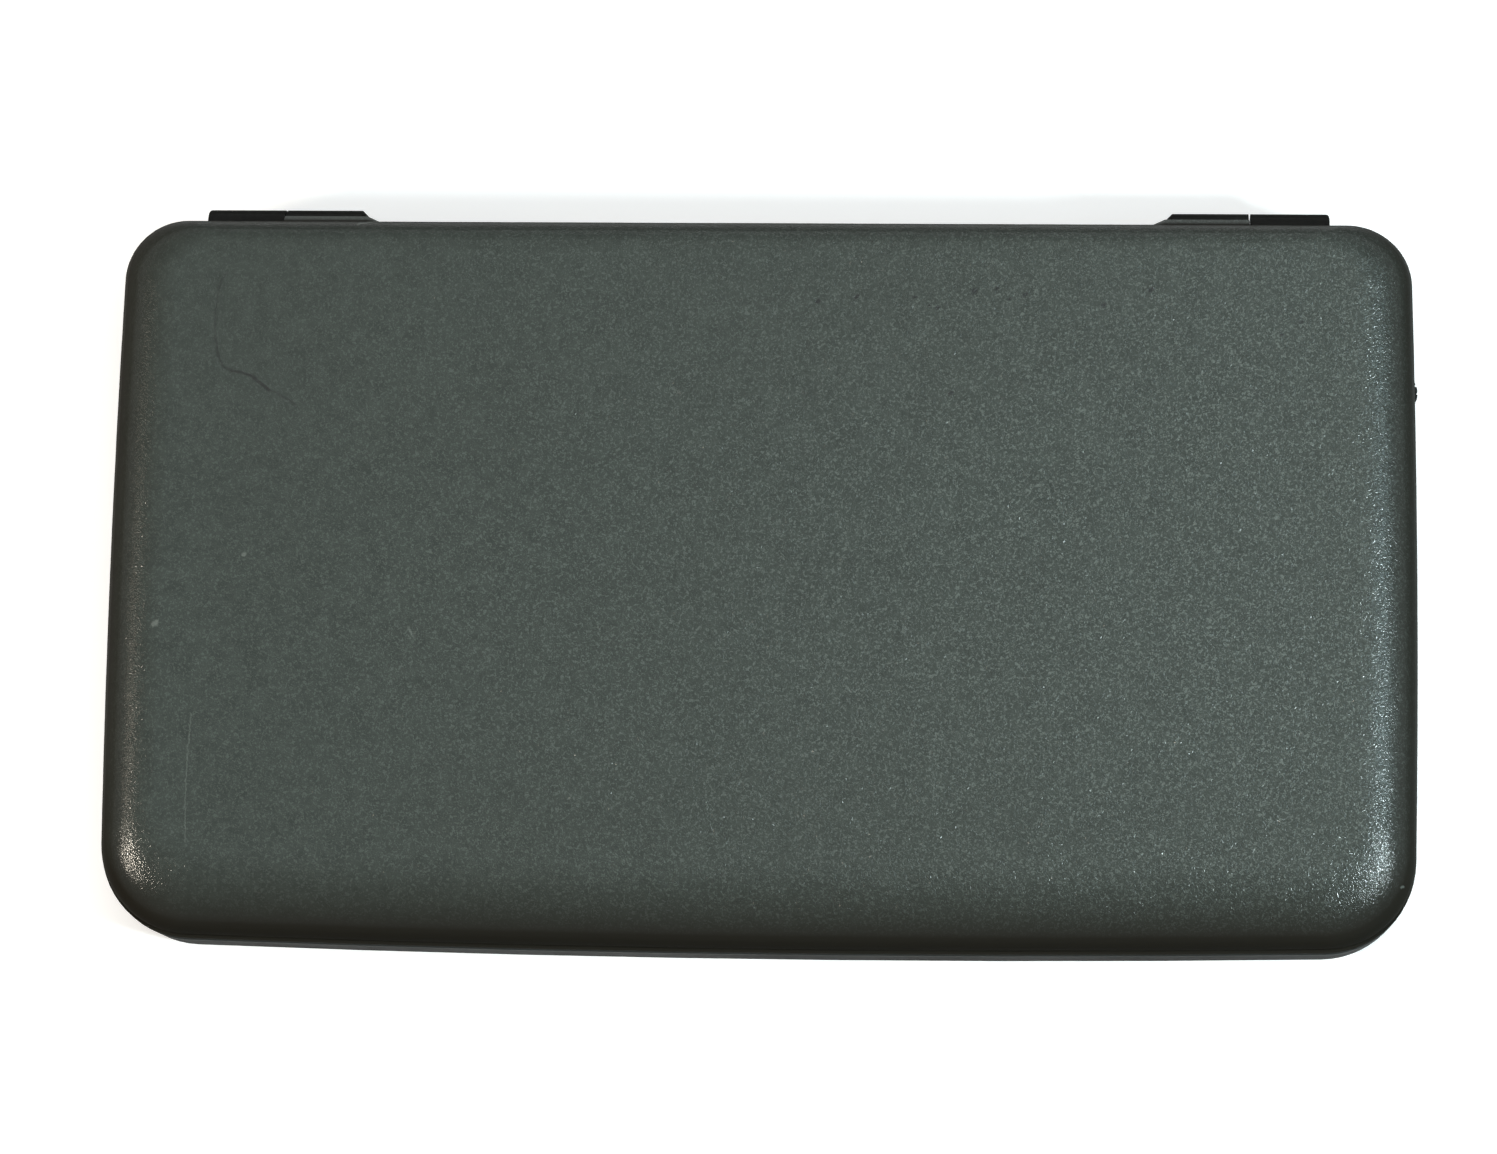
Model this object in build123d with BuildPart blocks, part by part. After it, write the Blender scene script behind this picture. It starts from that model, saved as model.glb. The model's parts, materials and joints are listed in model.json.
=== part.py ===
"""Electronic organizer: a clamshell pocket diary, closed, as it lies on a table.

The base holds the keyboard, the circuit board and the coin cells. The lid holds the display.
Millimetres, +Z up, +X to the right and +Y towards the hinge. The origin is the middle of the
flat underside that the organizer rests on.
"""

import os
from math import cos, radians, sin, sqrt

from build123d import *

# Outline of the case, seen from above
case_width = 134.0
case_depth = 75.4
side_crown = 0.5
front_crown = 1.0
rear_corner = 6.4
front_corner = 9.3
base_front_step = 0.1
base_edge = 2.0
wall = 1.4
floor = 1.4

# Stack of the base, from the table up
cover_recess = 0.15
cover_thickness = 1.2
cover_to_cell = 0.1
cell_thickness = 3.2
contact_thickness = 0.1
board_thickness = 0.8
mat_thickness = 0.3
key_travel = 0.6
flange_thickness = 0.45
panel_thickness = 1.2
slip = 0.05

# Stack of the lid, from its rim up
parting_gap = 0.2
bezel_recess = 0.8
bezel_thickness = 1.2
glass_thickness = 1.55
backing_thickness = 0.6
roof_space = 0.35
roof = 1.4

# Outer curves of the lid
lip_height = 0.8
lip_ledge = 0.3
side_curve = 6.2
rear_curve = 2.9
nose_curve = 8.0
lid_wall = 1.2
curve_levels = 6
rear_corner_tightening = 1.5
front_corner_tightening = 3.5

# Hinge
hinge_setback = 0.15
barrel_radius = 1.45
barrel_clearance = 0.15
barrel_outer_inset = 8.75
outer_knuckle_length = 8.2
inner_knuckle_length = 8.75
barrel_end_gap = 0.1
barrel_end_chamfer = 0.8
barrel_end_round = 0.35
pin_radius = 0.6
pin_running_clearance = 0.05
pin_fixed_clearance = 0.02
pin_end_cover = 0.9
flare_reach = 0.35
flare_taper = 1.5
flare_low = 2.2
flare_high = 4.4
hinge_block = 1.0

# Keyboard
key_pitch_x = 11.6
key_pitch_y = 10.5
key_width = 9.0
key_depth = 6.6
key_corner = 1.6
key_top_chamfer = 0.45
key_rise = 0.7
panel_edge = 0.2
lip_drop = 0.8
key_wall = 0.9
key_clearance = 0.15
flange_overhang = 0.6
front_row_inset = 8.6
dome_radius = 1.3
mat_margin = 1.2

# Flat mode keys above the keyboard
sheet_side_inset = 8.0
sheet_rear_inset = 8.5
keys_to_sheet = 4.3
sheet_thickness = 0.25
sheet_depth_below = 0.03
sheet_corner = 2.0

# Display
display_middle_y = 2.0
glass_width = 98.0
glass_depth = 38.0
glass_edge_hidden = 2.0
window_overhang = 3.0
window_thickness = 0.8
window_corner = 2.5
rib = 0.8
fit = 0.2

# Ribbon from the board to the display
ribbon_width = 14.0
ribbon_thickness = 0.15
ribbon_slot = 0.6
ribbon_to_wall = 0.55
ribbon_above_board = 0.43

# Screws
case_front_screw_inset = (6.6, 6.0)
case_rear_screw_inset = (5.7, 6.8)
middle_screw_x = 14.0
middle_screw_inset = 6.4
case_boss_radius = 2.4
case_boss_top = 3.2
panel_boss_radius = 2.1
case_head_radius = 1.6
case_head_height = 0.9
case_head_depth = 1.2
case_shank_radius = 0.8
case_shank_top = 6.2
lid_front_screw_inset = (9.5, 12.1)
lid_rear_screw_inset = (9.5, 7.0)
lid_boss_radius = 2.0
lid_head_radius = 1.4
lid_head_height = 0.6
lid_head_depth = 0.7
lid_shank_radius = 0.7
lid_shank_length = 2.7
thread_clearance = 0.02

# Batteries
cell_radius = 10.0
cell_edge = 0.3
cell_clearance = 0.2
cell_pitch = 21.6
cell_row_y = -6.0
first_cell_inset = 13.1
well_wall = 1.2
cover_half_depth = 11.6
cover_clearance = 0.15
cover_tongue = 0.8
cover_tongue_thickness = 0.4
cover_lip_height = 4.0
grip_grooves = 5
grip_start = 5.0
grip_pitch = 1.6
grip_width = 0.8
grip_depth = 0.4

# Board and what it carries
board_edge_clearance = 0.3
board_rear_inset = 4.2
post_radius = 1.4
processor_side = 14.0
processor_thickness = 1.6
processor_place = (8.0, -8.0)
memory_width = 11.0
memory_depth = 8.0
memory_thickness = 1.2
memory_places = [(28.0, -2.0), (28.0, -15.0)]
capacitor_radius = 2.0
capacitor_height = 2.6
capacitor_places = [(-6.0, 14.0), (-1.0, 14.0)]
crystal_radius = 1.0
crystal_length = 6.0
crystal_place = (8.0, 7.0)
socket_side = 1.0
socket_depth = 3.0
socket_height = 1.0
contact_length = 9.0
contact_width = 4.0
buzzer_place = (34.0, 18.0)
buzzer_radius = 9.0
buzzer_thickness = 0.4
buzzer_ring_wall = 0.8
buzzer_ring_height = 1.0

# Reset button in the underside
button_place = (2.0, 22.0)
button_radius = 0.9
button_recess = 0.5
button_flange_radius = 1.7
button_flange_thickness = 0.5
button_travel = 0.3
button_clearance = 0.15
switch_side = 3.0
switch_height = 0.8

# Contrast wheel on the right side
wheel_radius = 2.4
wheel_thickness = 1.1
wheel_stand_out = 0.35
wheel_rear_inset = 16.85
wheel_clearance = 0.3
wheel_notches = 18
wheel_notch_radius = 0.16
trimmer_side = 3.0
trimmer_thickness = 0.2
shaft_radius = 0.5

# Data jack on the left side
jack_rear_inset = 15.6
jack_length = 9.0
jack_width = 6.0
jack_height = 4.5
jack_bore_radius = 1.25
jack_bore_depth = 8.0

# Heights that follow from the stacks
floor_of_cells = cover_recess + cover_thickness + cover_to_cell
board_bottom = floor_of_cells + cell_thickness + contact_thickness
board_top = board_bottom + board_thickness
mat_top = board_top + mat_thickness
flange_bottom = mat_top + slip + key_travel
flange_top = flange_bottom + flange_thickness
panel_bottom = flange_top + slip
panel_top = panel_bottom + panel_thickness
key_top = panel_top + key_rise
lid_bottom = panel_top + parting_gap
lip_top = lid_bottom + lip_height
bezel_bottom = lid_bottom + bezel_recess
bezel_top = bezel_bottom + bezel_thickness
glass_bottom = bezel_top + slip
glass_top = glass_bottom + glass_thickness
backing_bottom = glass_top + slip
backing_top = backing_bottom + backing_thickness
roof_bottom = backing_top + roof_space
lid_top = roof_bottom + roof

# Places that follow from the outline
side_x = case_width / 2
rear_y = case_depth / 2
side_arc_radius = (rear_y**2 + side_crown**2) / (2 * side_crown)
front_arc_radius = (side_x**2 + front_crown**2) / (2 * front_crown)
inner_rear_y = rear_y - wall
board_rear_y = rear_y - board_rear_inset
wheel_y = rear_y - wheel_rear_inset
jack_y = rear_y - jack_rear_inset
front_row_y = front_row_inset - rear_y
first_cell_x = first_cell_inset - side_x
barrel_outer_end = side_x - barrel_outer_inset
barrel_joint = barrel_outer_end - outer_knuckle_length
barrel_inner_end = barrel_joint - inner_knuckle_length
opening_width = glass_width - 2 * glass_edge_hidden
opening_depth = glass_depth - 2 * glass_edge_hidden
window_width = glass_width + 2 * window_overhang
window_depth = glass_depth + 2 * window_overhang
hinge_y = rear_y + hinge_setback
hinge_z = panel_top + parting_gap / 2
hinge_axis = Axis((0, hinge_y, hinge_z), (1, 0, 0))
pocket_radius = barrel_radius + barrel_clearance
second_cell_x = first_cell_x + cell_pitch
cell_places = [(first_cell_x, cell_row_y), (second_cell_x, cell_row_y)]
well_radius = cell_radius + cell_clearance
well_right_x = second_cell_x + well_radius + well_wall
ribbon_y = inner_rear_y - ribbon_to_wall - ribbon_thickness / 2
ribbon_low_z = board_top + ribbon_above_board
ribbon_high_z = backing_bottom + backing_thickness / 2
wheel_x = side_x + wheel_stand_out - wheel_radius
wheel_bottom = board_top + trimmer_thickness + slip
display_middle = (0, display_middle_y)
flare_inner_y = rear_y - lid_wall + slip
switch_bottom = board_bottom - switch_height
button_top = switch_bottom - slip - button_travel

case_screw_places = [
    (case_front_screw_inset[0] - side_x, case_front_screw_inset[1] - rear_y),
    (side_x - case_front_screw_inset[0], case_front_screw_inset[1] - rear_y),
    (case_rear_screw_inset[0] - side_x, rear_y - case_rear_screw_inset[1]),
    (side_x - case_rear_screw_inset[0], rear_y - case_rear_screw_inset[1]),
    (middle_screw_x, rear_y - middle_screw_inset),
]
lid_screw_places = [
    (lid_front_screw_inset[0] - side_x, lid_front_screw_inset[1] - rear_y),
    (side_x - lid_front_screw_inset[0], lid_front_screw_inset[1] - rear_y),
    (lid_rear_screw_inset[0] - side_x, rear_y - lid_rear_screw_inset[1]),
    (side_x - lid_rear_screw_inset[0], rear_y - lid_rear_screw_inset[1]),
]
post_places = [
    (-12.0, rear_y - 11.6),
    (4.0, 7.6 - rear_y),
    (side_x - 19.0, 15.6 - rear_y),
    (side_x - 15.0, 4.0),
]

# Rows of keys from the front to the rear, as names and widths in key pitches
key_rows = [
    [("on", 1), ("shift", 2), ("space", 4), ("left", 1.5), ("right", 1.5)],
    [(letter, 1) for letter in "zxcvbnm"] + [("comma", 1), ("period", 1), ("enter", 1)],
    [(letter, 1) for letter in "asdfghjkl"] + [("delete", 1)],
    [(letter, 1) for letter in "qwertyuiop"],
]
rear_row_y = front_row_y + (len(key_rows) - 1) * key_pitch_y
sheet_front_y = rear_row_y + key_depth / 2 + keys_to_sheet
sheet_rear_y = rear_y - sheet_rear_inset
sheet_middle_y = (sheet_front_y + sheet_rear_y) / 2
sheet_depth = sheet_rear_y - sheet_front_y
sheet_width = case_width - 2 * sheet_side_inset


def key_layout():
    """Name, place and cap width of every key."""
    layout = []
    for row_number, row in enumerate(key_rows):
        row_units = sum(units for name, units in row)
        start = -row_units / 2
        for name, units in row:
            x = (start + units / 2) * key_pitch_x
            y = front_row_y + row_number * key_pitch_y
            layout.append((name, (x, y), units * key_pitch_x - (key_pitch_x - key_width)))
            start += units
    return layout


def side_edge(y, side):
    """X of the case's crowned right side at y, drawn in by side."""
    return side_x - side - side_arc_radius + sqrt(side_arc_radius**2 - y**2)


def front_edge(x, front):
    """Y of the case's crowned front edge at x, drawn in by front."""
    return front - rear_y + front_arc_radius - sqrt(front_arc_radius**2 - x**2)


def outline(height, side=0.0, rear=0.0, front=0.0, rear_radius=rear_corner, front_radius=front_corner):
    """The case seen from above, drawn in from its edges by side, rear and front.

    The rear edge is straight, and the sides and the front edge are shallow arcs.
    """
    rear_edge = rear_y - rear
    rear_x = side_edge(rear_edge, side)
    front_x = rear_x
    for closer in range(6):
        corner_y = front_edge(front_x, front)
        front_x = side_edge(corner_y, side)
    with BuildSketch(Plane.XY.offset(height)) as sketch:
        with BuildLine():
            Line((rear_x, rear_edge), (-rear_x, rear_edge))
            ThreePointArc((-rear_x, rear_edge), (side - side_x, 0), (-front_x, corner_y))
            ThreePointArc((-front_x, corner_y), (0, front - rear_y), (front_x, corner_y))
            ThreePointArc((front_x, corner_y), (side_x - side, 0), (rear_x, rear_edge))
        make_face()
        fillet(sketch.vertices().group_by(Axis.Y)[-1], rear_radius)
        fillet(sketch.vertices().group_by(Axis.Y)[0], front_radius)
    return sketch.sketch


def inset_outline(height, inset, front_extra=0.0):
    """The case seen from above, drawn in evenly, and further at the front."""
    front = inset + front_extra
    return outline(height, inset, inset, front, rear_corner - inset, front_corner - inset)


def lid_levels(low, high, inset, front_extra, side, rear, nose):
    """Outlines of the lid that draw in along a quarter ellipse, from its lip to its flat top."""
    levels = []
    for level in range(curve_levels + 1):
        angle = radians(90 * level / curve_levels)
        drawn_in = 1 - cos(angle)
        levels.append(
            outline(
                low + (high - low) * sin(angle),
                inset + side * drawn_in,
                inset + rear * drawn_in,
                inset + front_extra + nose * drawn_in,
                rear_corner - inset - rear_corner_tightening * drawn_in,
                front_corner - inset - front_corner_tightening * drawn_in,
            )
        )
    return levels


def box_sketch(height, x_range, y_range):
    """A rectangle at a height, between two X and two Y values."""
    middle = ((x_range[0] + x_range[1]) / 2, (y_range[0] + y_range[1]) / 2)
    with BuildSketch(Plane.XY.offset(height)) as sketch:
        with Locations(middle):
            Rectangle(x_range[1] - x_range[0], y_range[1] - y_range[0])
    return sketch.sketch


def hinge_circle(x, radius):
    """A circle round the hinge axis at x."""
    plane = Plane(origin=(x, hinge_y, hinge_z), x_dir=(0, 1, 0), z_dir=(1, 0, 0))
    with BuildSketch(plane) as sketch:
        Circle(radius)
    return sketch.sketch


def barrel_half(from_x, to_x, end_chamfer=0.0, end_round=0.0):
    """Half the section of a hinge knuckle, along the hinge axis, with its shaped end at to_x."""
    plane = Plane(origin=(0, hinge_y, hinge_z), x_dir=(1, 0, 0), z_dir=(0, -1, 0))
    with BuildSketch(plane) as sketch:
        with BuildLine():
            Polyline((from_x, 0), (from_x, barrel_radius), (to_x, barrel_radius), (to_x, 0), close=True)
        make_face()
        shaped_corner = sketch.vertices().sort_by_distance((to_x, barrel_radius))[0]
        if end_chamfer:
            chamfer(shaped_corner, end_chamfer)
        if end_round:
            fillet(shaped_corner, end_round)
    return sketch.sketch


def flare_section(x, reach):
    """Section of the lid's flare over a knuckle, standing out past the hinge axis by reach."""
    with BuildSketch(Plane.YZ.offset(x)) as sketch:
        with BuildLine():
            Polyline(
                (flare_inner_y, hinge_z + flare_high),
                (hinge_y + reach, hinge_z + flare_low),
                (hinge_y + reach, hinge_z + barrel_radius / 2),
                (flare_inner_y, hinge_z + barrel_radius / 2),
                close=True,
            )
        make_face()
    return sketch.sketch


def both_sides(low_x, high_x):
    """The start of a length along the hinge axis, on the right and on the left."""
    return [low_x, -high_x]


def save(piece, name):
    """Names a finished piece and writes it."""
    piece.label = name
    export_step(piece, f"parts/{name}.step")


os.makedirs("parts", exist_ok=True)
keys = key_layout()

# Bottom case: an open tub with screw bosses, battery wells and the outer hinge knuckles
with BuildPart() as bottom_case:
    extrude(outline(0, front=-base_front_step), amount=panel_bottom)
    fillet(bottom_case.edges().group_by(Axis.Z)[0], base_edge)
    extrude(
        inset_outline(floor, wall, front_extra=-base_front_step),
        amount=panel_bottom - floor,
        mode=Mode.SUBTRACT,
    )
    for start in both_sides(barrel_inner_end - flare_taper, barrel_outer_end + hinge_block):
        block_length = barrel_outer_end + hinge_block - barrel_inner_end + flare_taper
        block_front = hinge_y - pocket_radius - hinge_block
        block = box_sketch(floor, (start, start + block_length), (block_front, rear_y - wall / 2))
        extrude(block, amount=panel_bottom - floor)
    with BuildSketch(Plane.XY.offset(floor)):
        with Locations(*case_screw_places):
            Circle(case_boss_radius)
    extrude(amount=case_boss_top - floor)
    with BuildSketch(Plane.XY.offset(floor)):
        with Locations(*post_places):
            Circle(post_radius)
    extrude(amount=board_bottom - slip - floor)
    with BuildSketch(Plane.XY.offset(floor)):
        with Locations(buzzer_place):
            Circle(buzzer_radius + fit + buzzer_ring_wall)
            Circle(buzzer_radius + fit, mode=Mode.SUBTRACT)
    extrude(amount=buzzer_ring_height)
    wells = box_sketch(
        floor,
        (-side_x + wall / 2, well_right_x + well_wall),
        (cell_row_y - cover_half_depth - well_wall, cell_row_y + cover_half_depth + well_wall),
    )
    extrude(wells, amount=board_bottom - slip - floor)
    cover_bay = box_sketch(
        0,
        (-side_x, well_right_x),
        (cell_row_y - cover_half_depth, cell_row_y + cover_half_depth),
    )
    extrude(cover_bay, amount=floor, mode=Mode.SUBTRACT)
    with BuildSketch(Plane.XY.offset(floor)):
        with Locations(*cell_places):
            Circle(well_radius)
    extrude(amount=board_bottom - floor, mode=Mode.SUBTRACT)
    cover_end = box_sketch(
        0,
        (-side_x, -side_x + wall),
        (cell_row_y - cover_half_depth, cell_row_y + cover_half_depth),
    )
    extrude(cover_end, amount=cover_recess + cover_lip_height + cover_clearance, mode=Mode.SUBTRACT)
    tongue_low = cover_recess + (cover_thickness - cover_tongue_thickness) / 2
    groove_reach = cover_half_depth + cover_tongue + cover_clearance
    groove = box_sketch(
        tongue_low - cover_clearance,
        (-side_x, well_right_x),
        (cell_row_y - groove_reach, cell_row_y + groove_reach),
    )
    groove_height = cover_tongue_thickness + 2 * cover_clearance
    extrude(groove, amount=groove_height, mode=Mode.SUBTRACT)
    with Locations(*[(x, y, 0) for x, y in case_screw_places]):
        Hole(case_shank_radius + fit, depth=2 * case_boss_top)
    with BuildSketch():
        with Locations(*case_screw_places):
            Circle(case_head_radius + fit)
    extrude(amount=case_head_depth, mode=Mode.SUBTRACT)
    with BuildSketch():
        with Locations(button_place):
            Circle(button_radius + button_clearance)
    extrude(amount=floor, mode=Mode.SUBTRACT)
    jack_z = floor + slip + jack_height / 2
    with BuildSketch(Plane.YZ.offset(-side_x)):
        with Locations((jack_y, jack_z)):
            Circle(jack_bore_radius + fit)
    extrude(amount=wall + side_crown, mode=Mode.SUBTRACT)
    wheel_slot = box_sketch(
        board_top,
        (side_x - side_crown - wall, side_x),
        (wheel_y - wheel_radius - wheel_clearance, wheel_y + wheel_radius + wheel_clearance),
    )
    extrude(wheel_slot, amount=panel_bottom - board_top, mode=Mode.SUBTRACT)
    for side in (1, -1):
        knuckle = barrel_half(
            side * (barrel_joint + barrel_end_gap),
            side * barrel_outer_end,
            end_round=barrel_end_round,
        )
        revolve(knuckle, axis=hinge_axis)
    relief_length = barrel_joint + barrel_end_gap - barrel_inner_end + flare_taper
    for start in both_sides(barrel_inner_end - flare_taper, barrel_joint + barrel_end_gap):
        relief_bottom = hinge_z - flare_low - 2 * flare_reach
        relief = box_sketch(
            relief_bottom,
            (start, start + relief_length),
            (hinge_y - flare_reach - barrel_clearance, hinge_y),
        )
        extrude(relief, amount=panel_top - relief_bottom, mode=Mode.SUBTRACT)
    for start in both_sides(barrel_inner_end - barrel_clearance, barrel_joint + barrel_end_gap):
        pocket_length = barrel_joint + barrel_end_gap - barrel_inner_end + barrel_clearance
        extrude(hinge_circle(start, pocket_radius), amount=pocket_length, mode=Mode.SUBTRACT)
    pin_bore_end = barrel_outer_end - pin_end_cover
    for start in both_sides(barrel_joint, pin_bore_end):
        bore = hinge_circle(start, pin_radius + pin_fixed_clearance)
        extrude(bore, amount=pin_bore_end - barrel_joint, mode=Mode.SUBTRACT)
save(bottom_case.part, "bottom_case")

# Keyboard panel: the top of the base, with a hole for every key and a recess for the flat keys
with BuildPart() as keyboard_panel:
    extrude(outline(panel_bottom, front=-base_front_step), amount=panel_thickness)
    chamfer(keyboard_panel.edges().group_by(Axis.Z)[-1], panel_edge)
    lip_inset = wall + fit
    extrude(
        inset_outline(panel_bottom - lip_drop, lip_inset, -base_front_step),
        amount=lip_drop,
    )
    extrude(
        inset_outline(panel_bottom - lip_drop, lip_inset + rib, -base_front_step),
        amount=lip_drop,
        mode=Mode.SUBTRACT,
    )
    with BuildSketch(Plane.XY.offset(case_boss_top + slip)):
        with Locations(*case_screw_places):
            Circle(panel_boss_radius)
    extrude(amount=panel_bottom - case_boss_top - slip)
    for name, place, cap_width in keys:
        with BuildSketch(Plane.XY.offset(panel_bottom)):
            with Locations(place):
                RectangleRounded(
                    cap_width + 2 * key_clearance,
                    key_depth + 2 * key_clearance,
                    key_corner + key_clearance,
                )
        extrude(amount=panel_thickness, mode=Mode.SUBTRACT)
    with BuildSketch(Plane.XY.offset(panel_top)):
        with Locations((0, sheet_middle_y)):
            RectangleRounded(sheet_width + fit, sheet_depth + fit, sheet_corner)
    extrude(amount=-(sheet_thickness + sheet_depth_below), mode=Mode.SUBTRACT)
    ribbon_half = ribbon_width / 2 + fit
    ribbon_gap = box_sketch(
        panel_bottom,
        (-ribbon_half, ribbon_half),
        (ribbon_y - ribbon_slot / 2, ribbon_y + ribbon_slot / 2),
    )
    extrude(ribbon_gap, amount=panel_thickness, mode=Mode.SUBTRACT)
    lip_gap = box_sketch(
        panel_bottom - lip_drop, (-ribbon_half, ribbon_half), (board_rear_y, rear_y)
    )
    extrude(lip_gap, amount=lip_drop, mode=Mode.SUBTRACT)
    for start in both_sides(
        barrel_inner_end - flare_taper - fit, barrel_outer_end + hinge_block + fit
    ):
        cut_length = barrel_outer_end + hinge_block - barrel_inner_end + flare_taper + 2 * fit
        lip_cut = box_sketch(
            panel_bottom - lip_drop,
            (start, start + cut_length),
            (hinge_y - pocket_radius - hinge_block - fit, rear_y),
        )
        extrude(lip_cut, amount=lip_drop, mode=Mode.SUBTRACT)
    for start in both_sides(
        barrel_inner_end - barrel_clearance, barrel_outer_end + barrel_end_gap
    ):
        cut_length = barrel_outer_end + barrel_end_gap - barrel_inner_end + barrel_clearance
        extrude(hinge_circle(start, pocket_radius), amount=cut_length, mode=Mode.SUBTRACT)
        corner_cut = box_sketch(
            panel_bottom,
            (start, start + cut_length),
            (hinge_y - pocket_radius, hinge_y),
        )
        extrude(corner_cut, amount=panel_thickness, mode=Mode.SUBTRACT)
    for start in both_sides(barrel_inner_end - flare_taper, barrel_joint + barrel_end_gap):
        relief = box_sketch(
            panel_bottom,
            (start, start + relief_length),
            (hinge_y - flare_reach - barrel_clearance, hinge_y),
        )
        extrude(relief, amount=panel_thickness, mode=Mode.SUBTRACT)
    with BuildSketch(Plane.XY.offset(panel_bottom - lip_drop)):
        with Locations((wheel_x, wheel_y)):
            Circle(wheel_radius + wheel_clearance)
    extrude(amount=lip_drop, mode=Mode.SUBTRACT)
    with BuildSketch(Plane.XY.offset(case_boss_top)):
        with Locations(*case_screw_places):
            Circle(case_shank_radius + thread_clearance)
    extrude(amount=case_shank_top + fit - case_boss_top, mode=Mode.SUBTRACT)
save(keyboard_panel.part, "keyboard_panel")

# Mode key sheet: a flat printed film with touch keys that don't travel
with BuildPart() as mode_key_sheet:
    with BuildSketch(Plane.XY.offset(panel_top - sheet_thickness - sheet_depth_below)):
        with Locations((0, sheet_middle_y)):
            RectangleRounded(sheet_width, sheet_depth, sheet_corner)
    extrude(amount=sheet_thickness)
save(mode_key_sheet.part, "mode_key_sheet")

# Keys: hollow caps, each with a flange that the panel holds down
for name, place, cap_width in keys:
    with BuildPart() as key:
        with BuildSketch(Plane.XY.offset(flange_bottom)):
            with Locations(place):
                RectangleRounded(
                    cap_width + 2 * flange_overhang,
                    key_depth + 2 * flange_overhang,
                    key_corner,
                )
        extrude(amount=flange_thickness)
        with BuildSketch(Plane.XY.offset(flange_top)):
            with Locations(place):
                RectangleRounded(cap_width, key_depth, key_corner)
        extrude(amount=key_top - flange_top)
        chamfer(key.edges().group_by(Axis.Z)[-1], key_top_chamfer)
        with BuildSketch(Plane.XY.offset(flange_bottom)):
            with Locations(place):
                Rectangle(cap_width - 2 * key_wall, key_depth - 2 * key_wall)
        extrude(amount=key_top - key_wall - flange_bottom, mode=Mode.SUBTRACT)
    save(key.part, f"key_{name}")

# Key mat: a rubber sheet on the board, with a dome that reaches into every key
with BuildPart() as key_mat:
    mat_half_width = 5 * key_pitch_x
    mat_front = front_row_y - key_depth / 2 - mat_margin
    mat_rear = rear_row_y + key_depth / 2 + mat_margin
    extrude(
        box_sketch(board_top, (-mat_half_width, mat_half_width), (mat_front, mat_rear)),
        amount=mat_thickness,
    )
    with BuildSketch(Plane.XY.offset(mat_top)):
        with Locations(*[place for name, place, cap_width in keys]):
            Circle(dome_radius)
    dome_top = key_top - key_wall - key_travel - slip
    extrude(amount=dome_top - mat_top)
    with BuildSketch(Plane.XY.offset(board_top)):
        with Locations(*case_screw_places):
            Circle(panel_boss_radius + fit)
    extrude(amount=mat_thickness, mode=Mode.SUBTRACT)
save(key_mat.part, "key_mat")

# Main board, cut away round the bosses and the jack
with BuildPart() as main_board:
    board_inset = wall + board_edge_clearance
    extrude(
        outline(
            board_bottom,
            board_inset,
            board_rear_inset,
            board_inset,
            rear_corner,
            front_corner - board_inset,
        ),
        amount=board_thickness,
    )
    with BuildSketch(Plane.XY.offset(board_bottom)):
        with Locations(*case_screw_places):
            Circle(panel_boss_radius + fit)
    extrude(amount=board_thickness, mode=Mode.SUBTRACT)
    jack_gap = box_sketch(
        board_bottom,
        (-side_x, -side_x + side_crown + wall + slip + jack_length + fit),
        (jack_y - jack_width / 2 - fit, jack_y + jack_width / 2 + fit),
    )
    extrude(jack_gap, amount=board_thickness, mode=Mode.SUBTRACT)
save(main_board.part, "main_board")

# Processor under the board
with BuildPart() as processor_chip:
    with BuildSketch(Plane.XY.offset(board_bottom)):
        with Locations(processor_place):
            Rectangle(processor_side, processor_side)
    extrude(amount=-processor_thickness)
    chamfer(processor_chip.edges().group_by(Axis.Z)[0], fit)
save(processor_chip.part, "processor_chip")

# Two memory chips under the board
with BuildPart() as memory_chips:
    with BuildSketch(Plane.XY.offset(board_bottom)):
        with Locations(*memory_places):
            Rectangle(memory_width, memory_depth)
    extrude(amount=-memory_thickness)
    chamfer(memory_chips.edges().group_by(Axis.Z)[0], fit)
save(memory_chips.part, "memory_chips")

# Capacitors, crystal can and reset switch under the board, ribbon socket and trimmer on it
with BuildPart() as board_components:
    with BuildSketch(Plane.XY.offset(board_bottom)):
        with Locations(*capacitor_places):
            Circle(capacitor_radius)
    extrude(amount=-capacitor_height)
    crystal_x, crystal_y = crystal_place
    crystal_plane = Plane.YZ.offset(crystal_x - crystal_length / 2)
    with BuildSketch(crystal_plane):
        with Locations((crystal_y, board_bottom - crystal_radius)):
            Circle(crystal_radius)
    extrude(amount=crystal_length)
    with BuildSketch(Plane.XY.offset(board_bottom)):
        with Locations(button_place):
            Rectangle(switch_side, switch_side)
    extrude(amount=-switch_height)
    ribbon_end_y = board_rear_y - fit
    socket = box_sketch(
        board_top,
        (-ribbon_width / 2 - socket_side, ribbon_width / 2 + socket_side),
        (ribbon_end_y - socket_depth, ribbon_end_y),
    )
    extrude(socket, amount=socket_height)
    trimmer_right_x = wheel_x + shaft_radius + slip
    trimmer = box_sketch(
        board_top,
        (trimmer_right_x - trimmer_side, trimmer_right_x),
        (wheel_y - trimmer_side / 2, wheel_y + trimmer_side / 2),
    )
    extrude(trimmer, amount=trimmer_thickness)
    with BuildSketch(Plane.XY.offset(board_top)):
        with Locations((wheel_x, wheel_y)):
            Circle(shaft_radius)
    extrude(amount=trimmer_thickness + wheel_thickness)
save(board_components.part, "board_components")

# Leaf contacts between the cells and the board
with BuildPart() as battery_contacts:
    with BuildSketch(Plane.XY.offset(board_bottom)):
        with Locations(*cell_places):
            Rectangle(contact_length, contact_width)
    extrude(amount=-contact_thickness)
save(battery_contacts.part, "battery_contacts")

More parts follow.
